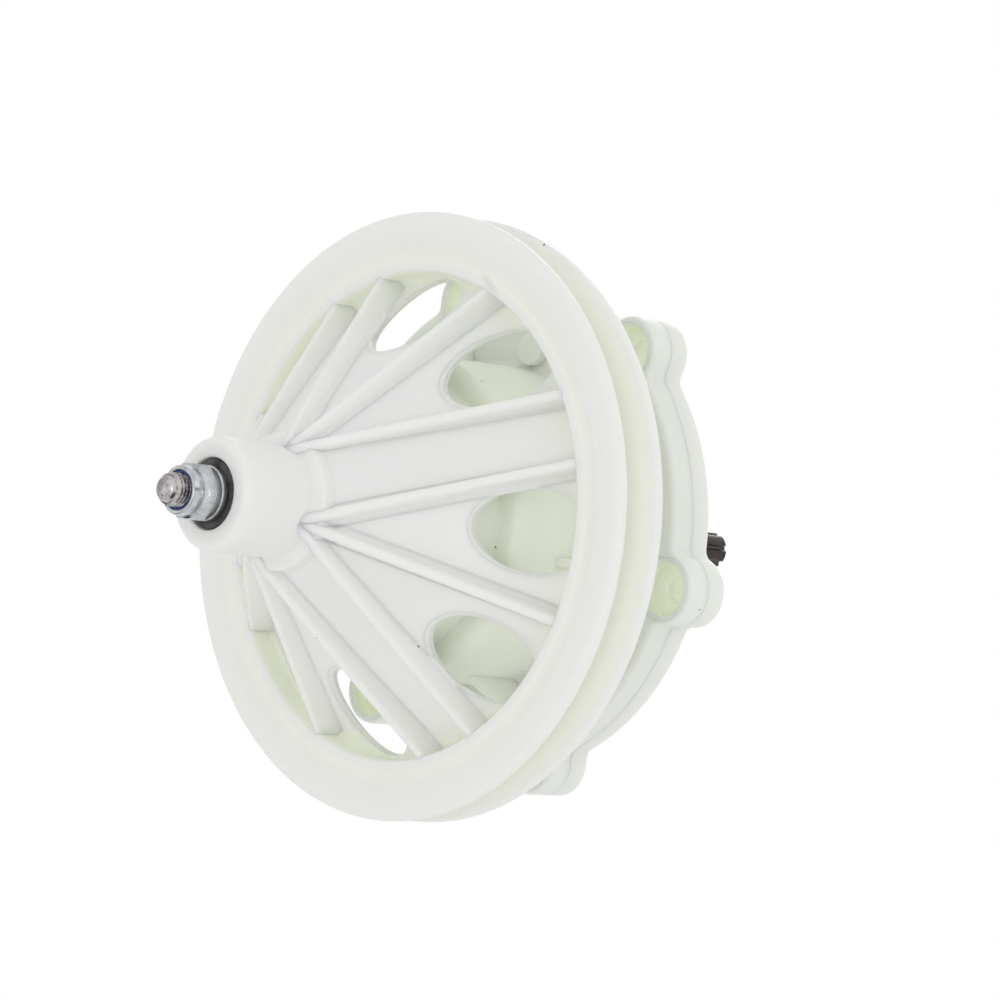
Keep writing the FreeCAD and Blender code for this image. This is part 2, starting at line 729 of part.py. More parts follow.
def toothed_wire(count, low, high, thicker, phase):
    """A closed outline of teeth between two radii; phase is the first tooth's angle."""
    module = number("gear_module")
    pitch_radius = module * count / 2
    base = pitch_radius * math.cos(math.radians(number("pressure_angle")))
    flank_low = max(low, base + 0.01)
    radii = [flank_low, (flank_low + high) / 2, high]
    halves = [tooth_half_angle(radius, pitch_radius, count, thicker) for radius in radii]

    def at(radius, angle):
        return FreeCAD.Vector(radius * math.cos(angle), radius * math.sin(angle), 0)

    edges = []
    step = 2 * math.pi / count
    for k in range(count):
        middle = phase + k * step
        rising = [at(r, middle - half) for r, half in zip(radii, halves)]
        falling = [at(r, middle + half) for r, half in zip(reversed(radii), reversed(halves))]
        foot = at(low, middle - halves[0])
        heel = at(low, middle + halves[0])
        after = at(low, middle + step - halves[0])
        if flank_low > low:
            edges.append(Part.LineSegment(foot, rising[0]).toShape())
        edges.append(Part.Arc(*rising).toShape())
        edges.append(Part.Arc(rising[2], at(high, middle), falling[0]).toShape())
        edges.append(Part.Arc(*falling).toShape())
        if flank_low > low:
            edges.append(Part.LineSegment(falling[2], heel).toShape())
        edges.append(Part.Arc(heel, at(low, middle + step / 2), after).toShape())
    return Part.Wire(edges)


def gear_blank(count, phase, wide, bore):
    """An external gear with a round bore, from height 0."""
    module = number("gear_module")
    pitch_radius = module * count / 2
    low = pitch_radius - module * number("tooth_root")
    high = pitch_radius + module * number("tooth_height")
    outer = toothed_wire(count, low, high, -number("tooth_thinning"), phase)
    solid = Part.Face(outer).extrude(FreeCAD.Vector(0, 0, wide))
    return solid.cut(Part.makeCylinder(bore, wide))


def ring_gear():
    module = number("gear_module")
    planets = number("planet_teeth")
    count = int(number("sun_teeth") + 2 * planets)
    pitch_radius = module * count / 2
    low = pitch_radius - module * number("tooth_height")
    high = pitch_radius + module * number("tooth_root")
    phase = math.pi / count if planets % 2 == 0 else 0.0
    inner = toothed_wire(count, low, high, number("tooth_thinning"), phase)
    wide = number(f"{RING_REAR} - {RING_FRONT}")
    outer = Part.makeCylinder(number("barrel_bore_radius - running"), wide)
    reach = number("barrel_bore_radius + key_high - fit")
    for k in range(int(number("key_count"))):
        start = FreeCAD.Vector(number("barrel_bore_radius") - PAST, -number("key_wide") / 2, 0)
        key = Part.makeBox(reach - start.x, number("key_wide"), wide, start)
        key.rotate(FreeCAD.Vector(), FreeCAD.Vector(0, 0, 1), key_angle(k))
        outer = outer.fuse(key)
    teeth = Part.Face(inner).extrude(FreeCAD.Vector(0, 0, wide))
    show(shaped("ring_solid", outer.cut(teeth), up=RING_FRONT), "ring_gear")


def key_angle(k):
    """Keys stand halfway between the ears and the screw posts."""
    return (k + 0.25) * 360 / number("key_count")


def planet_angle(k):
    """Angle of a planet's centre: the nearest place to even spacing where it meshes."""
    steps = 2 * number("sun_teeth + planet_teeth")
    return round(k * steps / number("planet_count")) * 360 / steps


def sun_gear():
    wide = number(f"{SUN_REAR} - {SUN_FRONT}")
    solid = gear_blank(int(number("sun_teeth")), 0.0, wide, number("sun_seat_radius"))
    show(shaped("sun_solid", solid, up=SUN_FRONT), "sun_gear")


def planets():
    count = int(number("planet_teeth"))
    bore = number("pin_radius + running + planet_bush_wall")
    for k in range(int(number("planet_count"))):
        place_angle = planet_angle(k)
        turn = place_angle * (1 + number("sun_teeth / planet_teeth"))
        solid = gear_blank(count, math.pi + math.pi / count, number("gear_wide"), bore)
        gear = shaped(f"planet_solid{k + 1}", solid)
        angle = f"{place_angle} * 1deg"
        place(gear, f"orbit * cos({angle})", f"orbit * sin({angle})", PLANET_FRONT, str(turn))
        show(gear, f"planet_gear_{k + 1}")
        body = turned(f"planet_bush_body{k + 1}", [
            ("pin_radius + running", "0"),
            ("pin_radius + running + planet_bush_wall", "0"),
            ("pin_radius + running + planet_bush_wall", "gear_wide"),
            ("pin_radius + running", "gear_wide"),
        ])
        place(body, f"orbit * cos({angle})", f"orbit * sin({angle})", PLANET_FRONT)
        show(body, f"planet_bush_{k + 1}")


# Carrier: a plate with a hub and four posts, a cover plate, four pins, screws and washers.
def on_planets(name, radius, start, end, circle="orbit", later=0.0):
    """Cylinders at the planets' centres, or between them when later is half a step."""
    made = []
    count = int(number("planet_count"))
    for k in range(count):
        angle = planet_angle(k) + later * 360 / count
        made.append(cylinder(f"{name}{k + 1}", radius, start, end,
                             f"{circle} * cos({angle} * 1deg)",
                             f"{circle} * sin({angle} * 1deg)"))
    return made


def carrier():
    pocket = "(clip_thick + gap + fit)"
    posts_at = "carrier_post_circle_radius"
    plate = turned("carrier_plate", [
        ("0", f"{PLATE_FRONT} + {pocket} + gap"),
        ("output_drive_radius - clip_deep + clip_wide + gap", f"{PLATE_FRONT} + {pocket} + gap"),
        ("output_drive_radius - clip_deep + clip_wide + gap", PLATE_FRONT),
        ("carrier_radius", PLATE_FRONT),
        ("carrier_radius", PLATE_REAR),
        ("carrier_hub_radius", PLATE_REAR),
        ("carrier_hub_radius", HUB_REAR),
        ("0", HUB_REAR),
    ], [("carrier_edge_round", [("carrier_radius", PLATE_FRONT), ("carrier_radius", PLATE_REAR),
                                ("carrier_hub_radius", HUB_REAR)]),
        ("carrier_hub_round", [("carrier_hub_radius", PLATE_REAR)])])
    posts = on_planets("post", "carrier_post_radius", COVER_REAR, f"{PLATE_FRONT} + {PAST}", posts_at, 0.5)
    whole = fuse("carrier_posts", [plate] + posts)
    whole.Refine = True
    holes = on_planets("pin_hole", "pin_radius", f"{PLATE_FRONT} - {PAST}", f"{PLATE_REAR} + {PAST}")
    screw_end = f"{COVER_FRONT} + carrier_screw_long"
    holes += on_planets("post_hole", "carrier_screw_radius", f"{COVER_REAR} - {PAST}", screw_end,
                        posts_at, 0.5)
    holes.append(drive_bore("carrier_bore", "output_drive_radius + fit", "output_drive_flat + fit",
                            PLATE_FRONT, f"{HUB_REAR} + {PAST}"))
    show(cut("carrier_solid", whole, holes), "planet_carrier")

    window = "pitch_sun + 2 * gear_module"
    blank = turned("cover_blank", [
        (window, COVER_FRONT),
        ("carrier_radius", COVER_FRONT),
        ("carrier_radius", COVER_REAR),
        (window, COVER_REAR),
    ], [("carrier_edge_round", [("carrier_radius", COVER_FRONT)])])
    through = (f"{COVER_FRONT} - {PAST}", f"{COVER_REAR} + {PAST}")
    holes = on_planets("cover_pin_hole", "pin_radius", *through)
    holes += on_planets("cover_screw_hole", "carrier_screw_radius", *through, posts_at, 0.5)
    show(cut("cover_solid", blank, holes), "carrier_cover")

    group("pin_group", on_planets("pin", "pin_radius", COVER_FRONT, PLATE_REAR), "planet_pins")
    screws = []
    shanks = on_planets("carrier_shank", "carrier_screw_radius", COVER_FRONT, f"{screw_end} - fit",
                        posts_at, 0.5)
    heads = on_planets("carrier_head", "carrier_screw_head_radius",
                       f"{COVER_FRONT} - carrier_screw_head_high", COVER_FRONT, posts_at, 0.5)
    for k, (shank, head) in enumerate(zip(shanks, heads), start=1):
        screws.append(fuse(f"carrier_screw{k}", [shank, head]))
    group("carrier_screw_group", screws, "carrier_screws")

    washers = []
    for end, start in enumerate((f"{COVER_REAR} + gap", f"{PLANET_REAR} + gap")):
        discs = on_planets(f"washer_disc{end}_", "pin_radius + planet_washer_wide", start,
                           f"{start} + thrust_thick")
        bores = on_planets(f"washer_bore{end}_", "pin_radius + running", f"{start} - {PAST}",
                           f"{start} + thrust_thick + {PAST}")
        for k, (disc, bore) in enumerate(zip(discs, bores), start=1):
            washers.append(cut(f"washer{end}_{k}", disc, [bore]))
    group("washer_group", washers, "planet_thrust_washers")
    ring("output_thrust", "output_radius + fit", "carrier_hub_radius - carrier_edge_round",
         f"{HUB_REAR} + gap", f"{HUB_REAR} + gap + thrust_thick", "output_thrust_washer")


# Output shaft: flats in the carrier, a long journal, and a splined end with a threaded hole.
def spline_prism():
    """Straight-sided teeth standing on the root circle."""
    count = int(number("spline_teeth"))
    root = number("spline_root_radius")
    tip = number("spline_radius") + PAST
    half = math.pi * number("(spline_root_radius + spline_radius) * spline_tooth_share") / (2 * count)
    long = number(f"{SHAFT_END} - {SPLINE_START}")
    solid = Part.makeCylinder(root, long)
    for k in range(count):
        tooth = Part.makeBox(tip, 2 * half, long, FreeCAD.Vector(0, -half, 0))
        tooth.rotate(FreeCAD.Vector(), FreeCAD.Vector(0, 0, 1), k * 360 / count)
        solid = solid.fuse(tooth)
    return solid


def output_shaft():
    start = f"{PLATE_FRONT} + gap"
    profile = [("0", start), ("output_drive_radius", start)]
    profile += clip_groove("output_drive_radius", f"({PLATE_FRONT} + 2 * gap)")
    profile += [("output_drive_radius", HUB_REAR), ("output_radius", HUB_REAR)]
    profile += clip_groove("output_radius", f"({CLIP_SEAT} + gap)")
    profile += [("output_radius", f"{SPLINE_START} - spline_run_in"), ("spline_root_radius", SPLINE_START),
                ("0", SPLINE_START)]
    blank = turned("output_blank", profile)
    tools = flat_cutters("output_flat", "output_radius", "output_drive_flat", f"{start} - {PAST}", HUB_REAR)
    journal = cut("output_journal", blank, tools)
    envelope = turned("spline_envelope", [
        ("0", "0"),
        ("spline_radius", "0"),
        ("spline_radius", f"{SHAFT_END} - {SPLINE_START} - spline_chamfer"),
        ("spline_radius - spline_chamfer", f"{SHAFT_END} - {SPLINE_START}"),
        ("0", f"{SHAFT_END} - {SPLINE_START}"),
    ])
    spline = doc.addObject("Part::Common", "spline")
    spline.Base = shaped("spline_teeth_solid", spline_prism())
    spline.Tool = envelope
    place(spline, up=SPLINE_START, turn="spline_turn")
    whole = fuse("output_whole", [journal, spline])
    hole = cylinder("end_hole", "end_thread_radius", f"{SHAFT_END} - end_thread_long",
                    f"{SHAFT_END} + {PAST}")
    show(cut("output_solid", whole, [hole]), "output_shaft")
    clip("top_clip", "output_radius", f"({CLIP_SEAT} + gap)", "output_circlip")
    clip("carrier_clip", "output_drive_radius", f"({PLATE_FRONT} + 2 * gap)", "carrier_circlip")


# Case: a front half with the barrel and nose, a rear half with the tower.
INPUT_BUSH_OUT = "(input_radius + running + bush_wall)"
OUTPUT_BUSH_OUT = "(output_radius + running + bush_wall)"
INPUT_SEAL_OUT = "(input_radius + seal_wall)"
OUTPUT_SEAL_OUT = "(output_radius + seal_wall)"
SEAL_IN = f"({TIP} + seal_long)"
WALL_AXIAL = f"(case_wall / {STEEP})"
CONE_INSIDE = f"({NOSE} - {SLOPE} * case_wall + {WALL_AXIAL})"
TIP_INSIDE_RADIUS = f"(nose_tip_radius + (case_wall - {WALL_AXIAL}) / {SLOPE})"
TUBE_OUT = f"({INPUT_BUSH_OUT} + bearing_tube_wall)"
SCREW_TURN = "180 / ear_count"
POST_FACE = f"({FLANGE} - post_high)"


def level_edge(edge, height):
    """True for an edge that lies wholly at one height."""
    return all(abs(point.z - height) < 1e-4 for point in edge.discretize(3))


def upright(edge):
    """True for a straight edge along Z."""
    if not isinstance(edge.Curve, Part.Line):
        return False
    first, last = edge.Vertexes[0].Point, edge.Vertexes[-1].Point
    return math.hypot(first.x - last.x, first.y - last.y) < 1e-4


def with_ears(name, core, start, end, face):
    """The core with ears on its flange, blended into it and rounded on one face."""
    count = int(number("ear_count"))
    lobes = around(name + "_ear", count, "ear_circle_radius", "ear_radius", start, end)
    whole = fuse(name + "_eared", [core] + lobes)
    whole.Refine = True
    flange = number("case_radius")

    def at_joint(edge):
        point = edge.Vertexes[0].Point
        if not upright(edge) or abs(math.hypot(point.x, point.y) - flange) > 1e-3:
            return False
        nearest = min(math.hypot(point.x - number("ear_circle_radius") * math.cos(2 * math.pi * k / count),
                                 point.y - number("ear_circle_radius") * math.sin(2 * math.pi * k / count))
                      for k in range(count))
        return abs(nearest - number("ear_radius")) < 1e-3

    blended = round_edges(name + "_blended", whole, "ear_blend", at_joint)
    level = number(face)

    def on_rim(edge):
        middle = edge.valueAt((edge.FirstParameter + edge.LastParameter) / 2)
        return level_edge(edge, level) and math.hypot(middle.x, middle.y) > flange - 2

    return round_edges(name + "_rimmed", blended, "ear_edge_round", on_rim)


def front_case():
    core = turned("front_core", [
        (INPUT_SEAL_OUT, TIP),
        ("nose_tip_radius", TIP),
        ("nose_radius", NOSE),
        ("nose_radius", SHOULDER),
        ("barrel_radius", SHOULDER),
        ("barrel_radius + barrel_draft", FLANGE),
        ("case_radius", FLANGE),
        ("case_radius", PARTING),
        ("barrel_bore_radius", PARTING),
        ("barrel_bore_radius", RING_FRONT),
        ("nose_radius - case_wall", RING_FRONT),
        ("nose_radius - case_wall", CONE_INSIDE),
        (TIP_INSIDE_RADIUS, f"{TIP} + case_wall"),
        (TUBE_OUT, f"{TIP} + case_wall"),
        (TUBE_OUT, TUBE_END),
        (INPUT_BUSH_OUT, TUBE_END),
        (INPUT_BUSH_OUT, f"{TUBE_END} - input_bush_long"),
        ("input_radius + land_play", f"{TUBE_END} - input_bush_long"),
        ("input_radius + land_play", f"{SEAL_IN} + input_bush_long"),
        (INPUT_BUSH_OUT, f"{SEAL_IN} + input_bush_long"),
        (INPUT_BUSH_OUT, SEAL_IN),
        (INPUT_SEAL_OUT, SEAL_IN),
    ], [("barrel_round", [("barrel_radius", SHOULDER)]),
        ("nose_round", [("nose_radius", NOSE), ("nose_tip_radius", TIP)]),
        ("flange_foot_round", [("barrel_radius + barrel_draft", FLANGE)]),
        ("nose_foot_round", [("nose_radius", SHOULDER)])])
    rimmed = with_ears("front", core, FLANGE, PARTING, FLANGE)
    count = int(number("ear_count"))
    posts = around("screw_post", count, "post_circle_radius", "post_radius", POST_FACE,
                   f"{FLANGE} + {PAST}", SCREW_TURN)
    gussets = [shaped(f"gusset{k + 1}", gusset(), turn=f"{k} * 360 / ear_count") for k in range(count)]
    whole = fuse("front_whole", [rimmed] + posts + gussets)
    tools = around("socket", count, "ear_circle_radius", "socket_radius", f"{FLANGE} - {PAST}",
                   f"{FLANGE} + socket_deep")
    tools += around("front_bolt_hole", count, "ear_circle_radius", "bolt_hole_radius", FLANGE,
                    f"{PARTING} + {PAST}")
    tools += around("front_screw_hole", count, "post_circle_radius", "screw_radius",
                    "-screw_sink - screw_long", f"{PARTING} + {PAST}", SCREW_TURN)
    for k in range(int(number("key_count"))):
        start = FreeCAD.Vector(number("barrel_bore_radius") - PAST, -number("key_wide / 2 + fit"), 0)
        slot = Part.makeBox(number("key_high") + PAST, number("key_wide + 2 * fit"),
                            number(f"{PARTING} - {RING_FRONT} + {PAST}"), start)
        tools.append(shaped(f"key_slot{k + 1}", slot, up=RING_FRONT, turn=str(key_angle(k))))
    show(cut("front_solid", whole, tools), "front_case")


def gusset():
    """A triangular fin from the barrel to the inner side of an ear."""
    half = number("gusset_thick / 2")
    inner = number("barrel_radius") - PAST
    outer = number("ear_circle_radius - socket_radius - gusset_edge")
    low = number(f"{FLANGE} - gusset_long")
    flange = number(FLANGE)
    corners = [FreeCAD.Vector(inner, -half, low), FreeCAD.Vector(outer, -half, flange),
               FreeCAD.Vector(outer, -half, flange + PAST), FreeCAD.Vector(inner, -half, flange + PAST)]
    return Part.Face(Part.makePolygon(corners + corners[:1])).extrude(FreeCAD.Vector(0, 2 * half, 0))


def tower_rib():
    """A fin that braces the tower against the rear plate."""
    half = number("tower_rib_thick / 2")
    inner = number("tower_top_radius") - PAST
    reach = number("tower_rib_reach")
    corners = [FreeCAD.Vector(inner, -half, -PAST), FreeCAD.Vector(reach, -half, -PAST),
               FreeCAD.Vector(reach, -half, number("tower_rib_toe")),
               FreeCAD.Vector(inner, -half, number("tower_rib_high"))]
    return Part.Face(Part.makePolygon(corners + corners[:1])).extrude(FreeCAD.Vector(0, 2 * half, 0))


def rear_case():
    spigot = "(barrel_bore_radius - fit)"
    inside = "-rear_plate_thick"
    core = turned("rear_core", [
        (OUTPUT_SEAL_OUT, TOWER_TOP),
        (OUTPUT_SEAL_OUT, SEAL_FLOOR),
        (OUTPUT_BUSH_OUT, SEAL_FLOOR),
        (OUTPUT_BUSH_OUT, f"{CLIP_SEAT} - output_bush_long"),
        ("output_radius + land_play", f"{CLIP_SEAT} - output_bush_long"),
        ("output_radius + land_play", f"{BOSS_FRONT} + output_bush_long"),
        (OUTPUT_BUSH_OUT, f"{BOSS_FRONT} + output_bush_long"),
        (OUTPUT_BUSH_OUT, BOSS_FRONT),
        ("tower_foot_radius", BOSS_FRONT),
        ("tower_foot_radius", inside),
        (f"{spigot} - case_wall", inside),
        (f"{spigot} - case_wall", f"{RING_REAR} + fit"),
        (spigot, f"{RING_REAR} + fit"),
        (spigot, PARTING),
        ("case_radius", PARTING),
        ("case_radius", "0"),
        ("tower_foot_radius", "0"),
        ("tower_top_radius", TOWER_TOP),
    ], [("tower_foot_round", [("tower_foot_radius", "0")]),
        ("tower_top_round", [("tower_top_radius", TOWER_TOP)])])
    rimmed = with_ears("rear", core, PARTING, "0", "0")
    count = int(number("ear_count"))
    ribs = [shaped(f"tower_rib{k + 1}", tower_rib(), turn=f"({k} + 0.5) * 360 / ear_count")
            for k in range(count)]
    whole = fuse("rear_whole", [rimmed] + ribs)
    low, high = f"{PARTING} - {PAST}", str(PAST)
    tools = around("rear_bolt_hole", count, "ear_circle_radius", "bolt_hole_radius", low, high)
    tools += around("rear_screw_hole", count, "post_circle_radius", "screw_radius + gap", low, high,
                    SCREW_TURN)
    tools += around("screw_sinkhole", count, "post_circle_radius", "screw_head_radius + gap",
                    "-screw_sink", high, SCREW_TURN)
    channel = turned("ring_channel", [
        ("joint_ring_circle_radius - joint_ring_radius", "0"),
        ("joint_ring_circle_radius + joint_ring_radius", "0"),
        ("joint_ring_circle_radius + joint_ring_radius", "2 * joint_ring_radius"),
        ("joint_ring_circle_radius - joint_ring_radius", "2 * joint_ring_radius"),
    ])
    tools.append(place(channel, up=PARTING))
    show(cut("rear_solid", whole, tools), "rear_case")

    torus = doc.addObject("Part::Torus", "ring_torus")
    bind(torus, Radius1="joint_ring_circle_radius", Radius2="joint_ring_radius")
    show(place(torus, up=f"{PARTING} + joint_ring_radius"), "case_seal_ring")

    screws = []
    heads = around("head", count, "post_circle_radius", "screw_head_radius", "-screw_sink",
                   "-screw_sink + screw_head_high", SCREW_TURN)
    shanks = around("shank", count, "post_circle_radius", "screw_radius", "-screw_sink - screw_long",
                    "-screw_sink", SCREW_TURN)
    for k, (head, shank) in enumerate(zip(heads, shanks), start=1):
        angle = f"({SCREW_TURN} + {k - 1} * 360 / {count})"
        across = f"post_circle_radius * cos({angle} * 1deg)"
        along = f"post_circle_radius * sin({angle} * 1deg)"
        slots = []
        cross = ("screw_cross_long", "screw_cross_wide")
        for wide, deep in (cross, reversed(cross)):
            slots.append(box(f"cross{k}_{len(slots)}", wide, deep,
                             "-screw_sink + screw_head_high - screw_cross_deep", "0",
                             f"{across} - {wide} / 2", f"{along} - {deep} / 2"))
        screws.append(cut(f"case_screw{k}", fuse(f"case_screw_blank{k}", [head, shank]), slots))
    group("case_screw_group", screws, "case_screws")


def seal(name, shaft, outside, start, mouth, label):
    """A lip seal: a rubber ring whose lip runs on the shaft; mouth is the open side."""
    back, waist, lip, edge, front = [f"seal_long * {share if mouth > 0 else 1 - share}"
                                     for share in (0, 0.28, 0.45, 0.62, 1)]
    body = turned(name, [
        (f"{shaft} + seal_skin", back),
        (outside, back),
        (outside, front),
        (f"{outside} - seal_skin", front),
        (f"{outside} - seal_skin", lip),
        (f"{shaft} + seal_lip_thick + gap", lip),
        (f"{shaft} + running", edge),
        (f"{shaft} + seal_lip_thick", waist),
    ])
    place(body, up=start)
    return show(body, label)


def bushes_and_seals():
    ring("bush_a", "input_radius + running", INPUT_BUSH_OUT, SEAL_IN, f"{SEAL_IN} + input_bush_long",
         "input_bush_front")
    ring("bush_b", "input_radius + running", INPUT_BUSH_OUT, f"{TUBE_END} - input_bush_long", TUBE_END,
         "input_bush_rear")
    ring("bush_c", "output_radius + running", OUTPUT_BUSH_OUT, BOSS_FRONT,
         f"{BOSS_FRONT} + output_bush_long", "output_bush_lower")
    ring("bush_d", "output_radius + running", OUTPUT_BUSH_OUT, f"{CLIP_SEAT} - output_bush_long",
         CLIP_SEAT, "output_bush_upper")
    seal("seal_a", "input_radius", INPUT_SEAL_OUT, TIP, -1, "input_seal")
    seal("seal_b", "output_radius", OUTPUT_SEAL_OUT, SEAL_FLOOR, 1, "output_seal")


def check_and_write():
    """Stop on any failed object, then write one STEP file for each piece."""
    doc.recompute()
    for item in doc.Objects:
        if "Invalid" in item.State or "Error" in item.State:
            raise ValueError(f"{item.Name} failed: {item.State}")
    os.makedirs("parts", exist_ok=True)
    for item in SHOWN:
        shape = item.Shape
        if shape.isNull() or not shape.isValid() or not shape.Solids:
            raise ValueError(f"{item.Label} has no valid solid")
        shape.exportStep(f"parts/{item.Label}.step")
        box_here = shape.BoundBox
        print(f"{item.Label:24s} solids {len(shape.Solids)}  volume {shape.Volume:10.1f}"
              f"  z {box_here.ZMin:8.2f} {box_here.ZMax:8.2f}")


pulley()
nut_end()
input_shaft()
sun_gear()
front_case()
rear_case()
ring_gear()
bushes_and_seals()
planets()
carrier()
output_shaft()
check_and_write()
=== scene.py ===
"""Looks of a washing machine's gearbox: milky moulded pulley and case, plated nut, dark splined shaft."""

import logging
import math
from dataclasses import dataclass
from enum import Enum
from typing import Callable

import bmesh
import bpy
from mathutils import Matrix, Vector


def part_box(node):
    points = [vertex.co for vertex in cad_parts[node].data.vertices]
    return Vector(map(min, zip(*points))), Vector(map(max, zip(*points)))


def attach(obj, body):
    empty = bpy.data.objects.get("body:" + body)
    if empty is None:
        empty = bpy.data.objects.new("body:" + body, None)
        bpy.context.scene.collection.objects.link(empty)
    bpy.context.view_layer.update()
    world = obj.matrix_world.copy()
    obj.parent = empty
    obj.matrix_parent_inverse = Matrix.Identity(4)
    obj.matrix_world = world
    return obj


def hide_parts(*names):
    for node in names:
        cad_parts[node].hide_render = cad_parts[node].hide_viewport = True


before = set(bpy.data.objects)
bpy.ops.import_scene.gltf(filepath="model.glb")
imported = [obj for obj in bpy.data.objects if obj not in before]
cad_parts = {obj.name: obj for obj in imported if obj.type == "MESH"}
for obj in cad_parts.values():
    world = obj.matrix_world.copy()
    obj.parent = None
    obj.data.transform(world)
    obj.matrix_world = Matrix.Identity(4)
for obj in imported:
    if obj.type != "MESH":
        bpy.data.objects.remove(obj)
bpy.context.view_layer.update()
LOG = logging.getLogger("gearbox")

MM = 0.001
AROUND = 192
TINY = 1e-6
SMOOTH_ANGLE = math.radians(32)
ARC_STEPS = 5
RUN_SHARE = 0.49
# Mesh attribute with the share of painted glow and yellow-green tint, in place of light shining through the
# plastic into shaded hollows.
PAINTED_GLOW_ATTRIBUTE = "lit_through"

Triple = tuple[float, float, float]
Colour = Triple
Corner = tuple[float, ...]
Form = Callable[[float, float, float], float]
BMesh = bmesh.types.BMesh
Node, Socket, Tree = bpy.types.Node, bpy.types.NodeSocket, bpy.types.NodeTree
Thing, Paint = bpy.types.Object, bpy.types.Material


class Body(Enum):
    """The moving groups that the scene's own pieces ride on."""

    CASE = "case"
    INPUT = "input"
    OUTPUT = "output"


class Look(Enum):
    """The finishes of the gearbox."""

    PULLEY = "pulley_plastic"
    CASE = "case_plastic"
    SEAL = "seal_rubber"
    ZINC = "zinc_steel"
    DARK = "dark_steel"
    SHAFT = "shaft_steel"
    STUD = "stud_steel"
    RING = "ring_nylon"
    GEAR_NYLON = "gear_nylon"
    GEAR_STEEL = "gear_steel"
    BRONZE = "bearing_bronze"

    @property
    def slot(self) -> str:
        """The record's material slot that the finish belongs to."""
        return Look.SHAFT.value if self is Look.STUD else self.value


# ---- Node trees


class Graph:
    """A node tree that is filled one node at a time."""

    def __init__(self, tree: Tree) -> None:
        """Start with an empty tree."""
        self.tree = tree
        self.column = 0

    def add(self, kind: str, inputs: dict[int | str, object] | None = None,
            **settings: object) -> Node:
        """Add a node, set its options and fill its inputs.

        Args:
            kind: The node's type name.
            inputs: Values or sockets by the input's place or name.
            settings: The node's own options.

        Returns:
            The new node.
        """
        node = self.tree.nodes.new(kind)
        node.location = (self.column * 180, 0)
        self.column += 1
        for name, value in settings.items():
            setattr(node, name, value)
        for key, value in (inputs or {}).items():
            self.feed(node.inputs[key], value)
        return node

    def feed(self, socket: Socket, value: object) -> None:
        """Join a socket to another one, or set its value.

        Args:
            socket: The input to fill.
            value: Another socket, or a plain value.
        """
        if isinstance(value, Socket):
            self.tree.links.new(value, socket)
        elif isinstance(value, tuple) and len(value) == 3 and len(socket.default_value) == 4:
            socket.default_value = (*value, 1.0)
        else:
            socket.default_value = value

    def first(self, kind: str, inputs: dict[int | str, object] | None = None, **settings: object) -> Socket:
        """Add a node and give its first output."""
        return self.add(kind, inputs, **settings).outputs[0]

    def math(self, operation: str, *values: object, clamp: bool = False) -> Socket:
        """Add a Math node and give its result."""
        return self.first("ShaderNodeMath", dict(enumerate(values)), operation=operation, use_clamp=clamp)

    def times(self, one: object, other: object) -> Socket:
        """The product of two numbers."""
        return self.math("MULTIPLY", one, other)

    def plus(self, one: object, other: object) -> Socket:
        """The sum of two numbers."""
        return self.math("ADD", one, other)

    def span(self, value: object, low: float, high: float, start: float = 0.0, end: float = 1.0) -> Socket:
        """Map low to start and high to end, smoothly and clamped."""
        return self.first("ShaderNodeMapRange", {0: value, 1: low, 2: high, 3: start, 4: end},
                          interpolation_type="SMOOTHSTEP")

    def blend(self, share: object, one: object, other: object) -> Socket:
        """Mix two colours; the share is the second one's."""
        return self.add("ShaderNodeMix", {0: share, 6: one, 7: other}, data_type="RGBA").outputs[2]

    def here(self) -> Socket:
        """The point in the object's own coordinates."""
        return self.add("ShaderNodeTexCoord").outputs["Object"]

    def noise(self, point: Socket, scale: object, detail: float, roughness: float = 0.5) -> Socket:
        """Cloudy noise at a point."""
        return self.first("ShaderNodeTexNoise", {"Vector": point, "Scale": scale, "Detail": detail,
                                                 "Roughness": roughness})


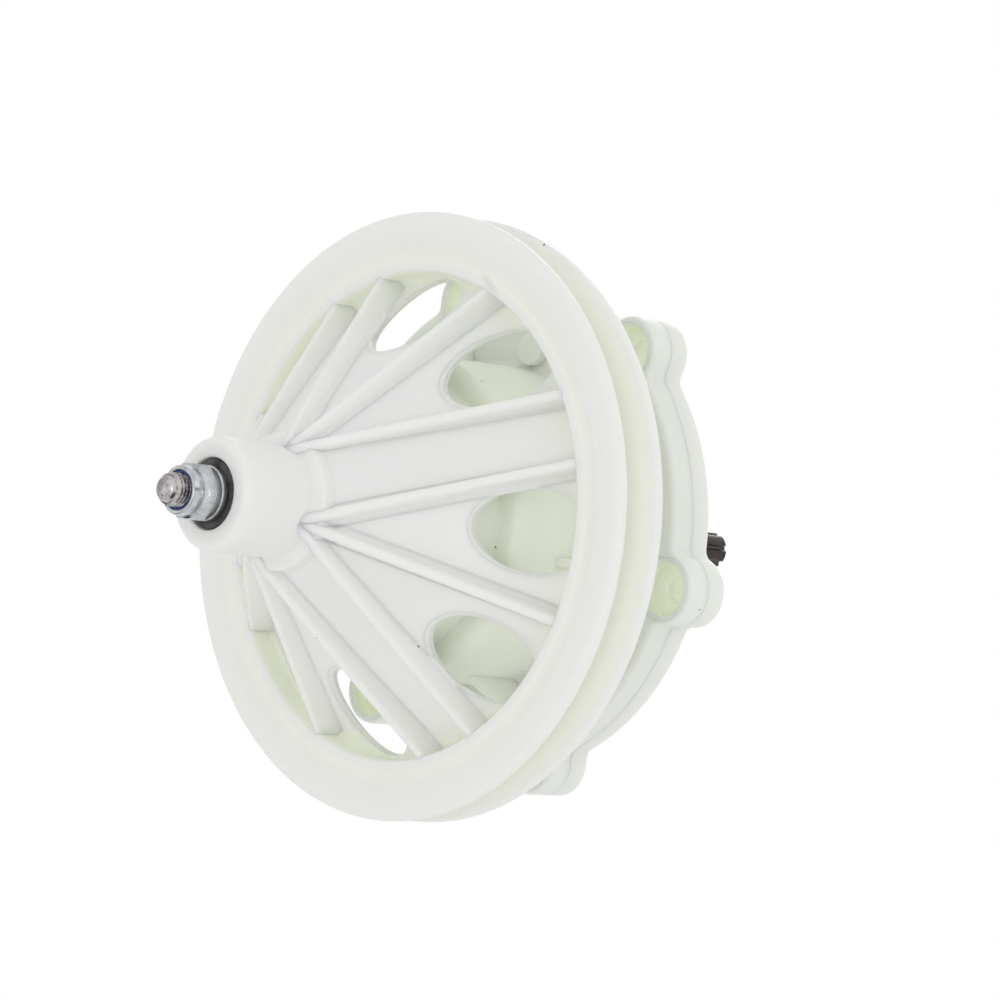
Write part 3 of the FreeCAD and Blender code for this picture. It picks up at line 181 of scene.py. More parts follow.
class Effects:
    """Shader node groups that several finishes share."""

    def __init__(self) -> None:
        """Build the groups."""
        self.mottle = self._mottle()
        self.specks = self._specks()
        self.lathe_marks = self._lathe_marks()
        self.grain = self._grain()

    @staticmethod
    def _begin(name: str, sizes: dict[str, float]) -> tuple[Graph, dict[str, Socket]]:
        """Begin a group with number inputs and one number as its output.

        Args:
            name: The group's name.
            sizes: Its inputs and their first values.

        Returns:
            The group's graph, and its input sockets by name.
        """
        tree = bpy.data.node_groups.new(name, "ShaderNodeTree")
        for label, value in sizes.items():
            socket = tree.interface.new_socket(label, in_out="INPUT", socket_type="NodeSocketFloat")
            socket.default_value = value
        tree.interface.new_socket("Result", in_out="OUTPUT", socket_type="NodeSocketFloat")
        graph = Graph(tree)
        start = graph.add("NodeGroupInput")
        return graph, {label: start.outputs[label] for label in sizes}

    @staticmethod
    def _end(graph: Graph, result: Socket) -> Tree:
        """Join the result to the group's output and give the group."""
        graph.add("NodeGroupOutput", {0: result})
        return graph.tree

    def _mottle(self) -> Tree:
        """Cloudy variation from 0 to 1, as in unpigmented plastic of uneven thickness."""
        graph, sizes = self._begin("cloudy_mottle", {"Scale": 30.0, "Contrast": 0.5})
        place = graph.here()
        wide = graph.noise(place, sizes["Scale"], 3.0, 0.55)
        narrow = graph.noise(place, graph.times(sizes["Scale"], 4.7), 2.0)
        both = graph.plus(graph.times(wide, 0.75), graph.times(narrow, 0.25))
        lifted = graph.times(graph.math("SUBTRACT", both, 0.5), graph.times(sizes["Contrast"], 4.0))
        return self._end(graph, graph.math("ADD", lifted, 0.5, clamp=True))

    def _specks(self) -> Tree:
        """Sparse round or drawn-out dirt marks, 1 inside a mark."""
        graph, sizes = self._begin("dirt_specks", {"Scale": 220.0, "Size": 0.1, "Share": 0.1, "Stretch": 1.0})
        x, y, z = graph.add("ShaderNodeSeparateXYZ", {0: graph.here()}).outputs
        point = graph.first("ShaderNodeCombineXYZ", {0: x, 1: graph.times(y, sizes["Stretch"]), 2: z})
        cells = graph.add("ShaderNodeTexVoronoi", {"Vector": point, "Scale": sizes["Scale"]})
        chance = graph.add("ShaderNodeSeparateColor", {0: cells.outputs["Color"]}).outputs
        chosen = graph.math("LESS_THAN", chance[0], sizes["Share"])
        size = graph.times(sizes["Size"], graph.plus(chance[1], 0.35))
        depth = graph.math("DIVIDE", cells.outputs["Distance"], size)
        return self._end(graph, graph.times(graph.span(depth, 1.0, 0.55), chosen))

    def _lathe_marks(self) -> Tree:
        """Fine rings about the shaft's axis, as a turning tool leaves them."""
        graph, sizes = self._begin("lathe_marks", {"Scale": 4000.0, "Wander": 0.15})
        place = graph.here()
        x, y, z = graph.add("ShaderNodeSeparateXYZ", {0: place}).outputs
        radius = graph.math("SQRT", graph.plus(graph.times(x, x), graph.times(y, y)))
        shift = graph.times(graph.noise(place, 300.0, 1.0), graph.times(sizes["Wander"], MM))
        ring = graph.first("ShaderNodeCombineXYZ", {0: graph.plus(radius, shift), 1: z, 2: 0.0})
        return self._end(graph, graph.noise(ring, sizes["Scale"], 2.0))

    def _grain(self) -> Tree:
        """The shallow orange-peel of a moulded or plated skin."""
        graph, sizes = self._begin("skin_grain", {"Scale": 700.0})
        place = graph.here()
        fine = graph.times(graph.noise(place, sizes["Scale"], 3.0), 0.3)
        return self._end(graph, graph.plus(fine, graph.times(graph.noise(place, 60.0, 1.0), 0.7)))


# ---- Finishes


@dataclass
class Brush:
    """What a finish is painted with."""

    graph: Graph
    shader: Node
    effects: Effects

    def use(self, group: Tree, **sizes: float) -> Socket:
        """Place a shared group with its inputs set, and give its result."""
        return self.graph.first("ShaderNodeGroup", {name.title(): size for name, size in sizes.items()},
                                node_tree=group)

    def fill(self, values: dict[str, object]) -> None:
        """Fill the shader's inputs by name."""
        for name, value in values.items():
            self.graph.feed(self.shader.inputs[name], value)

    def bump(self, height: Socket, strength: float, depth: float) -> None:
        """Lead a height to the shader's normal; the depth is in millimetres."""
        sizes = {"Strength": strength, "Distance": depth * MM, "Height": height}
        self.fill({"Normal": self.graph.first("ShaderNodeBump", sizes)})


@dataclass(frozen=True)
class Finish:
    """A finish with its main colour and the one that it varies to."""

    look: Look
    colour: Colour
    other_colour: Colour

    def paint(self, brush: Brush) -> None:
        """Fill the shader; each kind of finish has its own way."""
        raise NotImplementedError


@dataclass(frozen=True)
class MouldedPlastic(Finish):
    """Unpigmented engineering plastic: milky, cloudy with a greener tone here and there, lightly soiled, with
    painted yellow-green glow and tint where the mesh marks it.
    """

    cloud_scale: float = 24.0
    cloud_contrast: float = 0.5
    roughness: float = 0.36
    glow: float = 0.5
    glow_reach: float = 3.5
    dirt_share: float = 0.025
    dirt_colour: Colour = (0.045, 0.04, 0.035)
    rub_share: float = 0.05
    # Painted glow: the colour, the share of tint and the emission that stand in for light shining through the
    # plastic into shaded hollows.
    painted_glow_colour: Colour = (0.888, 0.932, 0.745)
    painted_glow_tint: float = 0.65
    painted_glow_strength: float = 0.12

    def paint(self, brush: Brush) -> None:
        """Fill the shader for milky moulded plastic.

        Args:
            brush: The material's graph, shader and effects.
        """
        graph, effects = brush.graph, brush.effects
        cloud = brush.use(effects.mottle, scale=self.cloud_scale, contrast=self.cloud_contrast)
        # Read the mesh's share of painted glow and yellow-green tint.
        painted_glow_share = graph.add("ShaderNodeAttribute", attribute_name=PAINTED_GLOW_ATTRIBUTE).outputs["Fac"]
        clouded = graph.blend(cloud, self.colour, self.other_colour)
        # Painted shade colour: the cloudy colour turns yellow-green where the painted glow is marked.
        milky = graph.blend(graph.times(painted_glow_share, self.painted_glow_tint), clouded, self.painted_glow_colour)
        rub = brush.use(effects.specks, scale=70.0, size=0.12, share=self.rub_share, stretch=0.22)
        rubbed = graph.blend(graph.times(rub, 0.10), milky, self.dirt_colour)
        speck = brush.use(effects.specks, scale=230.0, size=0.085, share=self.dirt_share, stretch=0.8)
        grain = brush.use(effects.grain, scale=650.0)
        sheen = graph.span(grain, 0.3, 0.7, self.roughness - 0.06, self.roughness + 0.08)
        brush.bump(grain, 0.25, 0.12)
        brush.fill({
            "Base Color": graph.blend(graph.times(speck, 0.85), rubbed, self.dirt_colour),
            "Roughness": graph.plus(sheen, graph.times(speck, 0.3)),
            # Painted glow: emission where the mesh marks it, though the plastic is no lamp.
            "Emission Color": graph.blend(painted_glow_share, (0.0, 0.0, 0.0), self.painted_glow_colour),
            "Emission Strength": self.painted_glow_strength,
            "IOR": 1.5,
            "Specular IOR Level": 0.45,
            "Subsurface Weight": self.glow,
            "Subsurface Radius": (1.0, 1.0, 0.8),
            "Subsurface Scale": self.glow_reach * MM,
        })


@dataclass(frozen=True)
class Metal(Finish):
    """Steel or bronze, plated, turned or left dark, with tool rings and smudges."""

    roughness: float = 0.28
    metallic: float = 1.0
    ring_scale: float = 3500.0
    ring_strength: float = 0.25
    smudge_scale: float = 160.0
    smudge_contrast: float = 0.8
    coat: float = 0.0

    def paint(self, brush: Brush) -> None:
        """Fill the shader for a machined metal.

        Args:
            brush: The material's graph, shader and effects.
        """
        graph, effects = brush.graph, brush.effects
        smudge = brush.use(effects.mottle, scale=self.smudge_scale, contrast=self.smudge_contrast)
        rings = brush.use(effects.lathe_marks, scale=self.ring_scale, wander=0.2)
        worn = graph.span(smudge, 0.0, 1.0, self.roughness - 0.07, self.roughness + 0.12)
        brush.bump(rings, self.ring_strength, 0.03)
        brush.fill({
            "Base Color": graph.blend(smudge, self.colour, self.other_colour),
            "Roughness": graph.plus(worn, graph.times(rings, 0.12)),
            "Metallic": self.metallic,
            "Coat Weight": self.coat,
            "Coat Roughness": 0.2,
        })


@dataclass(frozen=True)
class SoftPart(Finish):
    """Rubber and solid nylon, dull or waxy, with a fine grain and pale dust."""

    roughness: float = 0.6
    grain_scale: float = 1400.0
    glow: float = 0.0

    def paint(self, brush: Brush) -> None:
        """Fill the shader for rubber or nylon.

        Args:
            brush: The material's graph, shader and effects.
        """
        graph, effects = brush.graph, brush.effects
        dust = brush.use(effects.mottle, scale=140.0, contrast=0.5)
        grain = brush.use(effects.grain, scale=self.grain_scale)
        brush.bump(grain, 0.3, 0.06)
        brush.fill({
            "Base Color": graph.blend(dust, self.colour, self.other_colour),
            "Roughness": graph.span(grain, 0.3, 0.7, self.roughness - 0.08, self.roughness + 0.08),
            "Subsurface Weight": self.glow,
            "Subsurface Scale": 1.5 * MM,
        })


FINISHES: dict[Look, Finish] = {finish.look: finish for finish in (
    MouldedPlastic(Look.PULLEY, (0.90, 0.906, 0.886), (0.885, 0.896, 0.855)),
    MouldedPlastic(Look.CASE, (0.885, 0.893, 0.868), (0.845, 0.885, 0.79), cloud_scale=16.0,
                   cloud_contrast=0.45, roughness=0.34, dirt_share=0.1),
    SoftPart(Look.SEAL, (0.022, 0.022, 0.023), (0.06, 0.057, 0.052)),
    Metal(Look.ZINC, (0.74, 0.75, 0.765), (0.44, 0.46, 0.495), roughness=0.12, ring_strength=0.6),
    Metal(Look.DARK, (0.12, 0.115, 0.11), (0.035, 0.033, 0.032), roughness=0.34, metallic=0.8,
          ring_scale=2400.0, ring_strength=0.6, coat=0.2),
    Metal(Look.SHAFT, (0.085, 0.068, 0.062), (0.035, 0.028, 0.026), roughness=0.27, ring_strength=0.35,
          coat=0.3),
    Metal(Look.STUD, (0.76, 0.73, 0.74), (0.16, 0.14, 0.14), roughness=0.14, ring_strength=0.3,
          smudge_scale=260.0),
    SoftPart(Look.RING, (0.012, 0.045, 0.20), (0.02, 0.07, 0.27), roughness=0.35, glow=0.1),
    SoftPart(Look.GEAR_NYLON, (0.80, 0.77, 0.66), (0.72, 0.68, 0.55), roughness=0.42, glow=0.15),
    Metal(Look.GEAR_STEEL, (0.42, 0.42, 0.43), (0.25, 0.25, 0.26), roughness=0.3, coat=0.2),
    Metal(Look.BRONZE, (0.55, 0.34, 0.15), (0.40, 0.24, 0.10), roughness=0.35),
)}


# ---- Meshes


def softened(corners: list[Corner], closed: bool = True) -> list[Vector]:
    """Round the corners of an outline.

    Args:
        corners: Radius, height and any rounding of each corner, in millimetres.
        closed: Whether the last corner joins the first.

    Returns:
        The outline's points.
    """
    places = [Vector(corner[:2]) for corner in corners]
    points: list[Vector] = []
    for i, (here, corner) in enumerate(zip(places, corners)):
        if len(corner) < 3 or (not closed and i in (0, len(corners) - 1)):
            points.append(here)
            continue
        before = places[i - 1] - here
        after = places[(i + 1) % len(corners)] - here
        half = before.angle(after) / 2
        reach = min(corner[2] / math.tan(half), before.length * RUN_SHARE, after.length * RUN_SHARE)
        radius = reach * math.tan(half)
        middle = here + (before.normalized() + after.normalized()).normalized() * (radius / math.sin(half))
        first = here + before.normalized() * reach - middle
        turn = first.angle_signed(here + after.normalized() * reach - middle)
        for k in range(ARC_STEPS + 1):
            step = -turn * k / ARC_STEPS
            c, s = math.cos(step), math.sin(step)
            points.append(middle + Vector((first.x * c - first.y * s, first.x * s + first.y * c)))
    return points


def divided(points: list[Vector], longest: float) -> list[Vector]:
    """Divide the long runs of an open outline.

    Args:
        points: The outline.
        longest: The longest run that is left, in millimetres.

    Returns:
        The outline with more points.
    """
    out = [points[0]]
    for a, b in zip(points, points[1:]):
        count = max(1, math.ceil((b - a).length / longest))
        out += [a.lerp(b, (k + 1) / count) for k in range(count)]
    return out


def turned(points: list[Vector], closed: bool = True, around: int = AROUND, turn: float = 0.0,
           form: Form | None = None) -> BMesh:
    """Turn an outline about the shaft's axis.

    Args:
        points: Radius and height of each point, in millimetres.
        closed: Whether the outline is a loop.
        around: The number of steps round the axis.
        turn: The angle of the first step, in degrees.
        form: Changes the radius by angle (radians, before the turn), radius and height.

    Returns:
        The mesh.
    """
    bm = bmesh.new()
    start = math.radians(turn)
    rows = []
    for point in points:
        row = []
        for k in range(around):
            angle = 2 * math.pi * k / around
            radius = (form(angle, point.x, point.y) if form else point.x) * MM
            row.append(bm.verts.new((radius * math.cos(angle + start), radius * math.sin(angle + start),
                                     point.y * MM)))
        rows.append(row)
    skin(bm, list(zip(rows, rows[1:])) + ([(rows[-1], rows[0])] if closed else []), True)
    if not closed:
        for row in (rows[0], rows[-1]):
            if row[0].co.xy.length > TINY:
                bm.faces.new(row)
    bmesh.ops.remove_doubles(bm, verts=bm.verts, dist=1e-7)
    bmesh.ops.recalc_face_normals(bm, faces=bm.faces)
    return bm


def skin(bm: BMesh, pairs: list[tuple[list, list]], closed: bool) -> None:
    """Join pairs of vertex rows with faces.

    Args:
        bm: The mesh.
        pairs: The rows to join.
        closed: Whether a row's last vertex joins its first.
    """
    for near, far in pairs:
        count = len(near)
        for k in range(count if closed else count - 1):
            bm.faces.new((near[k], near[(k + 1) % count], far[(k + 1) % count], far[k]))


def block(bm: BMesh, size: Triple, centre: Triple) -> list[bmesh.types.BMVert]:
    """Add a box.

    Args:
        bm: The mesh.
        size: The box's size in millimetres.
        centre: Its centre in millimetres.

    Returns:
        Its vertices.
    """
    verts = bmesh.ops.create_cube(bm, size=1.0)["verts"]
    bmesh.ops.scale(bm, verts=verts, vec=[value * MM for value in size])
    bmesh.ops.translate(bm, verts=verts, vec=[value * MM for value in centre])
    return verts


def drum(bm: BMesh, radius: float, length: float, centre: Vector, segments: int) -> None:
    """Add an upright cylinder.

    Args:
        bm: The mesh.
        radius: Its radius in millimetres.
        length: Its length in millimetres.
        centre: Its centre in metres.
        segments: The number of its sides.
    """
    made = bmesh.ops.create_cone(bm, cap_ends=True, segments=segments, radius1=radius * MM,
                                 radius2=radius * MM, depth=length * MM)
    bmesh.ops.translate(bm, verts=made["verts"], vec=centre)


def two_flats(angle: float, radius: float, flat: float) -> float:
    """A radius cut down to two flats that stand this far from the axis."""
    return min(radius, flat / max(abs(math.cos(angle)), TINY))


def meshed(name: str, bm: BMesh) -> bpy.types.Mesh:
    """Turn a bmesh into a mesh and free it."""
    mesh = bpy.data.meshes.new(name)
    bm.to_mesh(mesh)
    bm.free()
    return mesh


def placed(name: str, data: bpy.types.ID) -> Thing:
    """Put an object with this data into the scene."""
    thing = bpy.data.objects.new(name, data)
    bpy.context.collection.objects.link(thing)
    return thing


# ---- Geometry Nodes trees


class Rules:
    """Geometry Nodes trees for what repeats round the axis or follows a path."""

    def __init__(self) -> None:
        """Build the trees."""
        self.around = self._around()
        self.bead = self._bead()
        self.thread = self._thread()

    @staticmethod
    def _begin(name: str, **sizes: float) -> tuple[Graph, dict[str, Socket]]:
        """Start a tree with a geometry input and named sizes.

        Args:
            name: The tree's name.
            sizes: The first value of each input, by its name in lower case.

        Returns:
            The tree's graph, and its input sockets by name.
        """
        tree = bpy.data.node_groups.new(name, "GeometryNodeTree")
        tree.interface.new_socket("Geometry", in_out="INPUT", socket_type="NodeSocketGeometry")
        for label, value in sizes.items():
            kind = "NodeSocketInt" if isinstance(value, int) else "NodeSocketFloat"
            tree.interface.new_socket(label.title(), in_out="INPUT", socket_type=kind).default_value = value
        tree.interface.new_socket("Finish", in_out="INPUT", socket_type="NodeSocketMaterial")
        tree.interface.new_socket("Geometry", in_out="OUTPUT", socket_type="NodeSocketGeometry")
        graph = Graph(tree)
        return graph, graph.add("NodeGroupInput").outputs

    @staticmethod
    def _end(graph: Graph, start: dict[str, Socket], shape: Socket) -> Tree:
        """End a tree in real geometry with its finish.

        Args:
            graph: The tree's graph.
            start: Its input sockets.
            shape: What it has made.

        Returns:
            The tree.
        """
        real = graph.first("GeometryNodeRealizeInstances", {0: shape})
        painted = graph.first("GeometryNodeSetMaterial", {"Geometry": real, "Material": start["Finish"]})
        graph.add("NodeGroupOutput", {0: painted})
        return graph.tree

    @staticmethod
    def _repeat(graph: Graph, start: dict[str, Socket], shape: Socket) -> Socket:
        """Repeat a shape about the axis.

        Args:
            graph: The tree's graph.
            start: Its input sockets, with Count and Turn.
            shape: The shape that is repeated.

        Returns:
            The instances.
        """
        share = graph.math("DIVIDE", graph.first("GeometryNodeInputIndex"), start["Count"])
        angle = graph.plus(graph.times(share, 2 * math.pi), start["Turn"])
        return graph.first("GeometryNodeInstanceOnPoints", {
            "Points": graph.first("GeometryNodePoints", {"Count": start["Count"]}),
            "Instance": shape,
            "Rotation": graph.first("ShaderNodeCombineXYZ", {2: angle})})

    def _around(self) -> Tree:
        """Repeats the object's own mesh about the axis."""
        graph, start = self._begin("spread_round_axis", count=6, turn=0.0)
        return self._end(graph, start, self._repeat(graph, start, start["Geometry"]))

    def _bead(self) -> Tree:
        """Sweeps a round bead along the object's curves and repeats it about the axis."""
        graph, start = self._begin("bead_on_path", radius=MM, sides=16, count=4, turn=0.0)
        section = graph.first("GeometryNodeCurvePrimitiveCircle",
                              {"Resolution": start["Sides"], "Radius": start["Radius"]})
        swept = graph.first("GeometryNodeCurveToMesh", {"Curve": start["Geometry"], "Profile Curve": section,
                                                        "Fill Caps": True})
        return self._end(graph, start, self._repeat(graph, start, swept))

    def _thread(self) -> Tree:
        """Wraps a flat grid into a helical screw thread that fades out at its start."""
        graph, start = self._begin("screw_thread", root=4.25 * MM, crest=4.9 * MM, pitch=1.25 * MM,
                                   start=0.0, length=8.0 * MM, rows=97)
        grid = graph.first("GeometryNodeMeshGrid", {"Size X": 1.0, "Size Y": 1.0, "Vertices X": 97,
                                                    "Vertices Y": start["Rows"]})
        place = graph.first("GeometryNodeInputPosition")
        across, onward, _ = graph.add("ShaderNodeSeparateXYZ", {0: place}).outputs
        turn = graph.plus(across, 0.5)
        along = graph.times(graph.plus(onward, 0.5), start["Length"])
        phase = graph.math("FRACT", graph.plus(graph.math("DIVIDE", along, start["Pitch"]), turn))
        ridge = graph.times(graph.math("ABSOLUTE", graph.math("SUBTRACT", phase, 0.5)), 2.0)
        fade = graph.math("DIVIDE", along, graph.times(start["Pitch"], 0.8), clamp=True)
        depth = graph.math("SUBTRACT", start["Crest"], start["Root"])
        lift = graph.times(graph.times(graph.span(ridge, 0.12, 0.85), fade), depth)
        radius = graph.plus(start["Root"], lift)
        angle = graph.times(turn, 2 * math.pi)
        point = graph.first("ShaderNodeCombineXYZ", {
            0: graph.times(radius, graph.math("COSINE", angle)),
            1: graph.times(radius, graph.math("SINE", angle)),
            2: graph.plus(along, start["Start"])})
        wrapped = graph.first("GeometryNodeSetPosition", {"Geometry": grid, "Position": point})
        joined = graph.first("GeometryNodeMergeByDistance", {"Geometry": wrapped, "Distance": TINY})
        return self._end(graph, start, joined)


# ---- Making and mounting


class Shop:
    """Makes objects from meshes, paints them and fixes them to the moving bodies."""

    def __init__(self) -> None:
        """Build the shared effects and rules."""
        self.effects = Effects()
        self.rules = Rules()
        self.paints: dict[Look, Paint] = {}

    def material(self, look: Look) -> Paint:
        """Give a finish's material, built on the first call.

        Args:
            look: The finish.

        Returns:
            Its material.
        """
        if look not in self.paints:
            made = bpy.data.materials.new(look.value)
            made.use_nodes = True
            made.node_tree.nodes.clear()
            graph = Graph(made.node_tree)
            shader = graph.add("ShaderNodeBsdfPrincipled")
            FINISHES[look].paint(Brush(graph, shader, self.effects))
            graph.add("ShaderNodeOutputMaterial", {0: shader.outputs[0]})
            self.paints[look] = made
        return self.paints[look]

    def piece(self, name: str, bm: BMesh, look: Look) -> Thing:
        """Make an object of a bmesh, which is freed, with a finish."""
        return self.dressed(name, meshed(name, bm), look)

    def dressed(self, name: str, mesh: bpy.types.Mesh, look: Look) -> Thing:
        """Make an object of a mesh, with a finish and smooth but for its sharp edges.

        Args:
            name: The object's name.
            mesh: Its mesh.
            look: Its finish.

        Returns:
            The object.
        """
        mesh.name = name
        mesh.materials.clear()
        mesh.materials.append(self.material(look))
        mesh.polygons.foreach_set("use_smooth", [True] * len(mesh.polygons))
        mesh.set_sharp_from_angle(angle=SMOOTH_ANGLE)
        return placed(name, mesh)

    def settled(self, thing: Thing, modifier: bpy.types.Modifier, look: Look) -> Thing:
        """Keep what a modifier makes as a plain mesh.

        Args:
            thing: The object with the modifier, which is removed.
            modifier: Its modifier.
            look: The finish of the result.

        Returns:
            A new object of the same name.
        """
        graph = bpy.context.evaluated_depsgraph_get()
        mesh = bpy.data.meshes.new_from_object(thing.evaluated_get(graph), depsgraph=graph)
        name = thing.name
        thing.modifiers.remove(modifier)
        bpy.data.objects.remove(thing)
        return self.dressed(name, mesh, look)

    def grown(self, thing: Thing, tree: Tree, look: Look,
              **sizes: float) -> Thing:
        """Run a Geometry Nodes tree on an object and keep its result.

        Args:
            thing: The object that carries what is repeated or followed.
            tree: The Geometry Nodes tree.
            look: The finish of the result.
            sizes: The tree's named inputs, in lower case.

        Returns:
            A new object with the result.
        """
        modifier = thing.modifiers.new("rule", "NODES")
        modifier.node_group = tree
        wanted = {name.title(): value for name, value in sizes.items()} | {"Finish": self.material(look)}
        for item in tree.interface.items_tree:
            if item.item_type == "SOCKET" and item.in_out == "INPUT" and item.name in wanted:
                modifier[item.identifier] = wanted[item.name]
        return self.settled(thing, modifier, look)

    def beads(self, name: str, loops: list[list[Vector]], look: Look, radius: float,
              **sizes: float) -> Thing:
        """Sweep round beads along closed paths and repeat them about the axis.

        Args:
            name: The object's name.
            loops: The points of each path, in metres.
            look: Its finish.
            radius: The bead's radius in millimetres.
            sizes: The count and turn of the copies.

        Returns:
            The beads as one object.
        """
        path = bpy.data.curves.new(name, "CURVE")
        path.dimensions = "3D"
        for loop in loops:
            spline = path.splines.new("POLY")
            spline.points.add(len(loop) - 1)
            spline.points.foreach_set("co", [value for point in loop for value in (*point, 1.0)])
            spline.use_cyclic_u = True
        return self.grown(placed(name, path), self.rules.bead, look, radius=radius * MM, sides=14, **sizes)

    def cut(self, thing: Thing, cutters: BMesh, look: Look,
            itself: bool = False) -> Thing:
        """Cut a mesh away from an object.

        Args:
            thing: The object, which is replaced.
            cutters: What is cut away; it is freed.
            look: The finish of what is left.
            itself: Whether the cutters cross each other.

        Returns:
            The object that is left.
        """
        cutter = self.piece(thing.name + "_cutter", cutters, look)
        modifier = thing.modifiers.new("cut", "BOOLEAN")
        modifier.object = cutter
        modifier.operation = "DIFFERENCE"
        modifier.solver = "EXACT"
        modifier.use_self = itself
        left = self.settled(thing, modifier, look)
        bpy.data.objects.remove(cutter)
        return left

    @staticmethod
    def mark_painted_glow(thing: Thing, share: Callable[[Vector], float]) -> Thing:
        """Mark the share of painted glow and yellow-green tint, 0 to 1, at each point in millimetres; it
        stands in for light through the plastic.
        """
        marks = thing.data.attributes.new(PAINTED_GLOW_ATTRIBUTE, "FLOAT", "POINT")
        marks.data.foreach_set("value", [share(vert.co / MM) for vert in thing.data.vertices])
        return thing

    def cad_copy(self, node: str, name: str, look: Look) -> Thing:
        """Copy a CAD node's mesh, join its loose triangles and smooth it.

        Args:
            node: The CAD node.
            name: The new object's name.
            look: Its finish.

        Returns:
            The object that replaces the node.
        """
        bm = bmesh.new()
        bm.from_mesh(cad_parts[node].data)
        bmesh.ops.remove_doubles(bm, verts=bm.verts, dist=2e-6)
        bmesh.ops.dissolve_degenerate(bm, edges=bm.edges, dist=1e-7)
        bmesh.ops.recalc_face_normals(bm, faces=bm.faces)
        thing = self.piece(name, bm, look)
        weighted = thing.modifiers.new("weighted", "WEIGHTED_NORMAL")
        weighted.keep_sharp = True
        weighted.weight = 80
        return thing

    @staticmethod
    def mount(thing: Thing, body: Body, look: Look, *nodes: str) -> None:
        """Fix a piece to a body and hide the CAD nodes that it replaces.

        Args:
            thing: The piece.
            body: The body that it moves with.
            look: Its finish, which is not used.
            nodes: The CAD nodes that it replaces.
        """
        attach(thing, body.value)
        look.slot
        if nodes:
            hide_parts(*nodes)
        LOG.info("%s rides on %s, %d faces", thing.name, body.value, len(thing.data.polygons))


@dataclass
class Group:
    """A group of pieces; its sizes are in millimetres and its turns in degrees."""

    shop: Shop

    def build(self) -> None:
        """Make the group's pieces."""
        raise NotImplementedError


# ---- Pieces


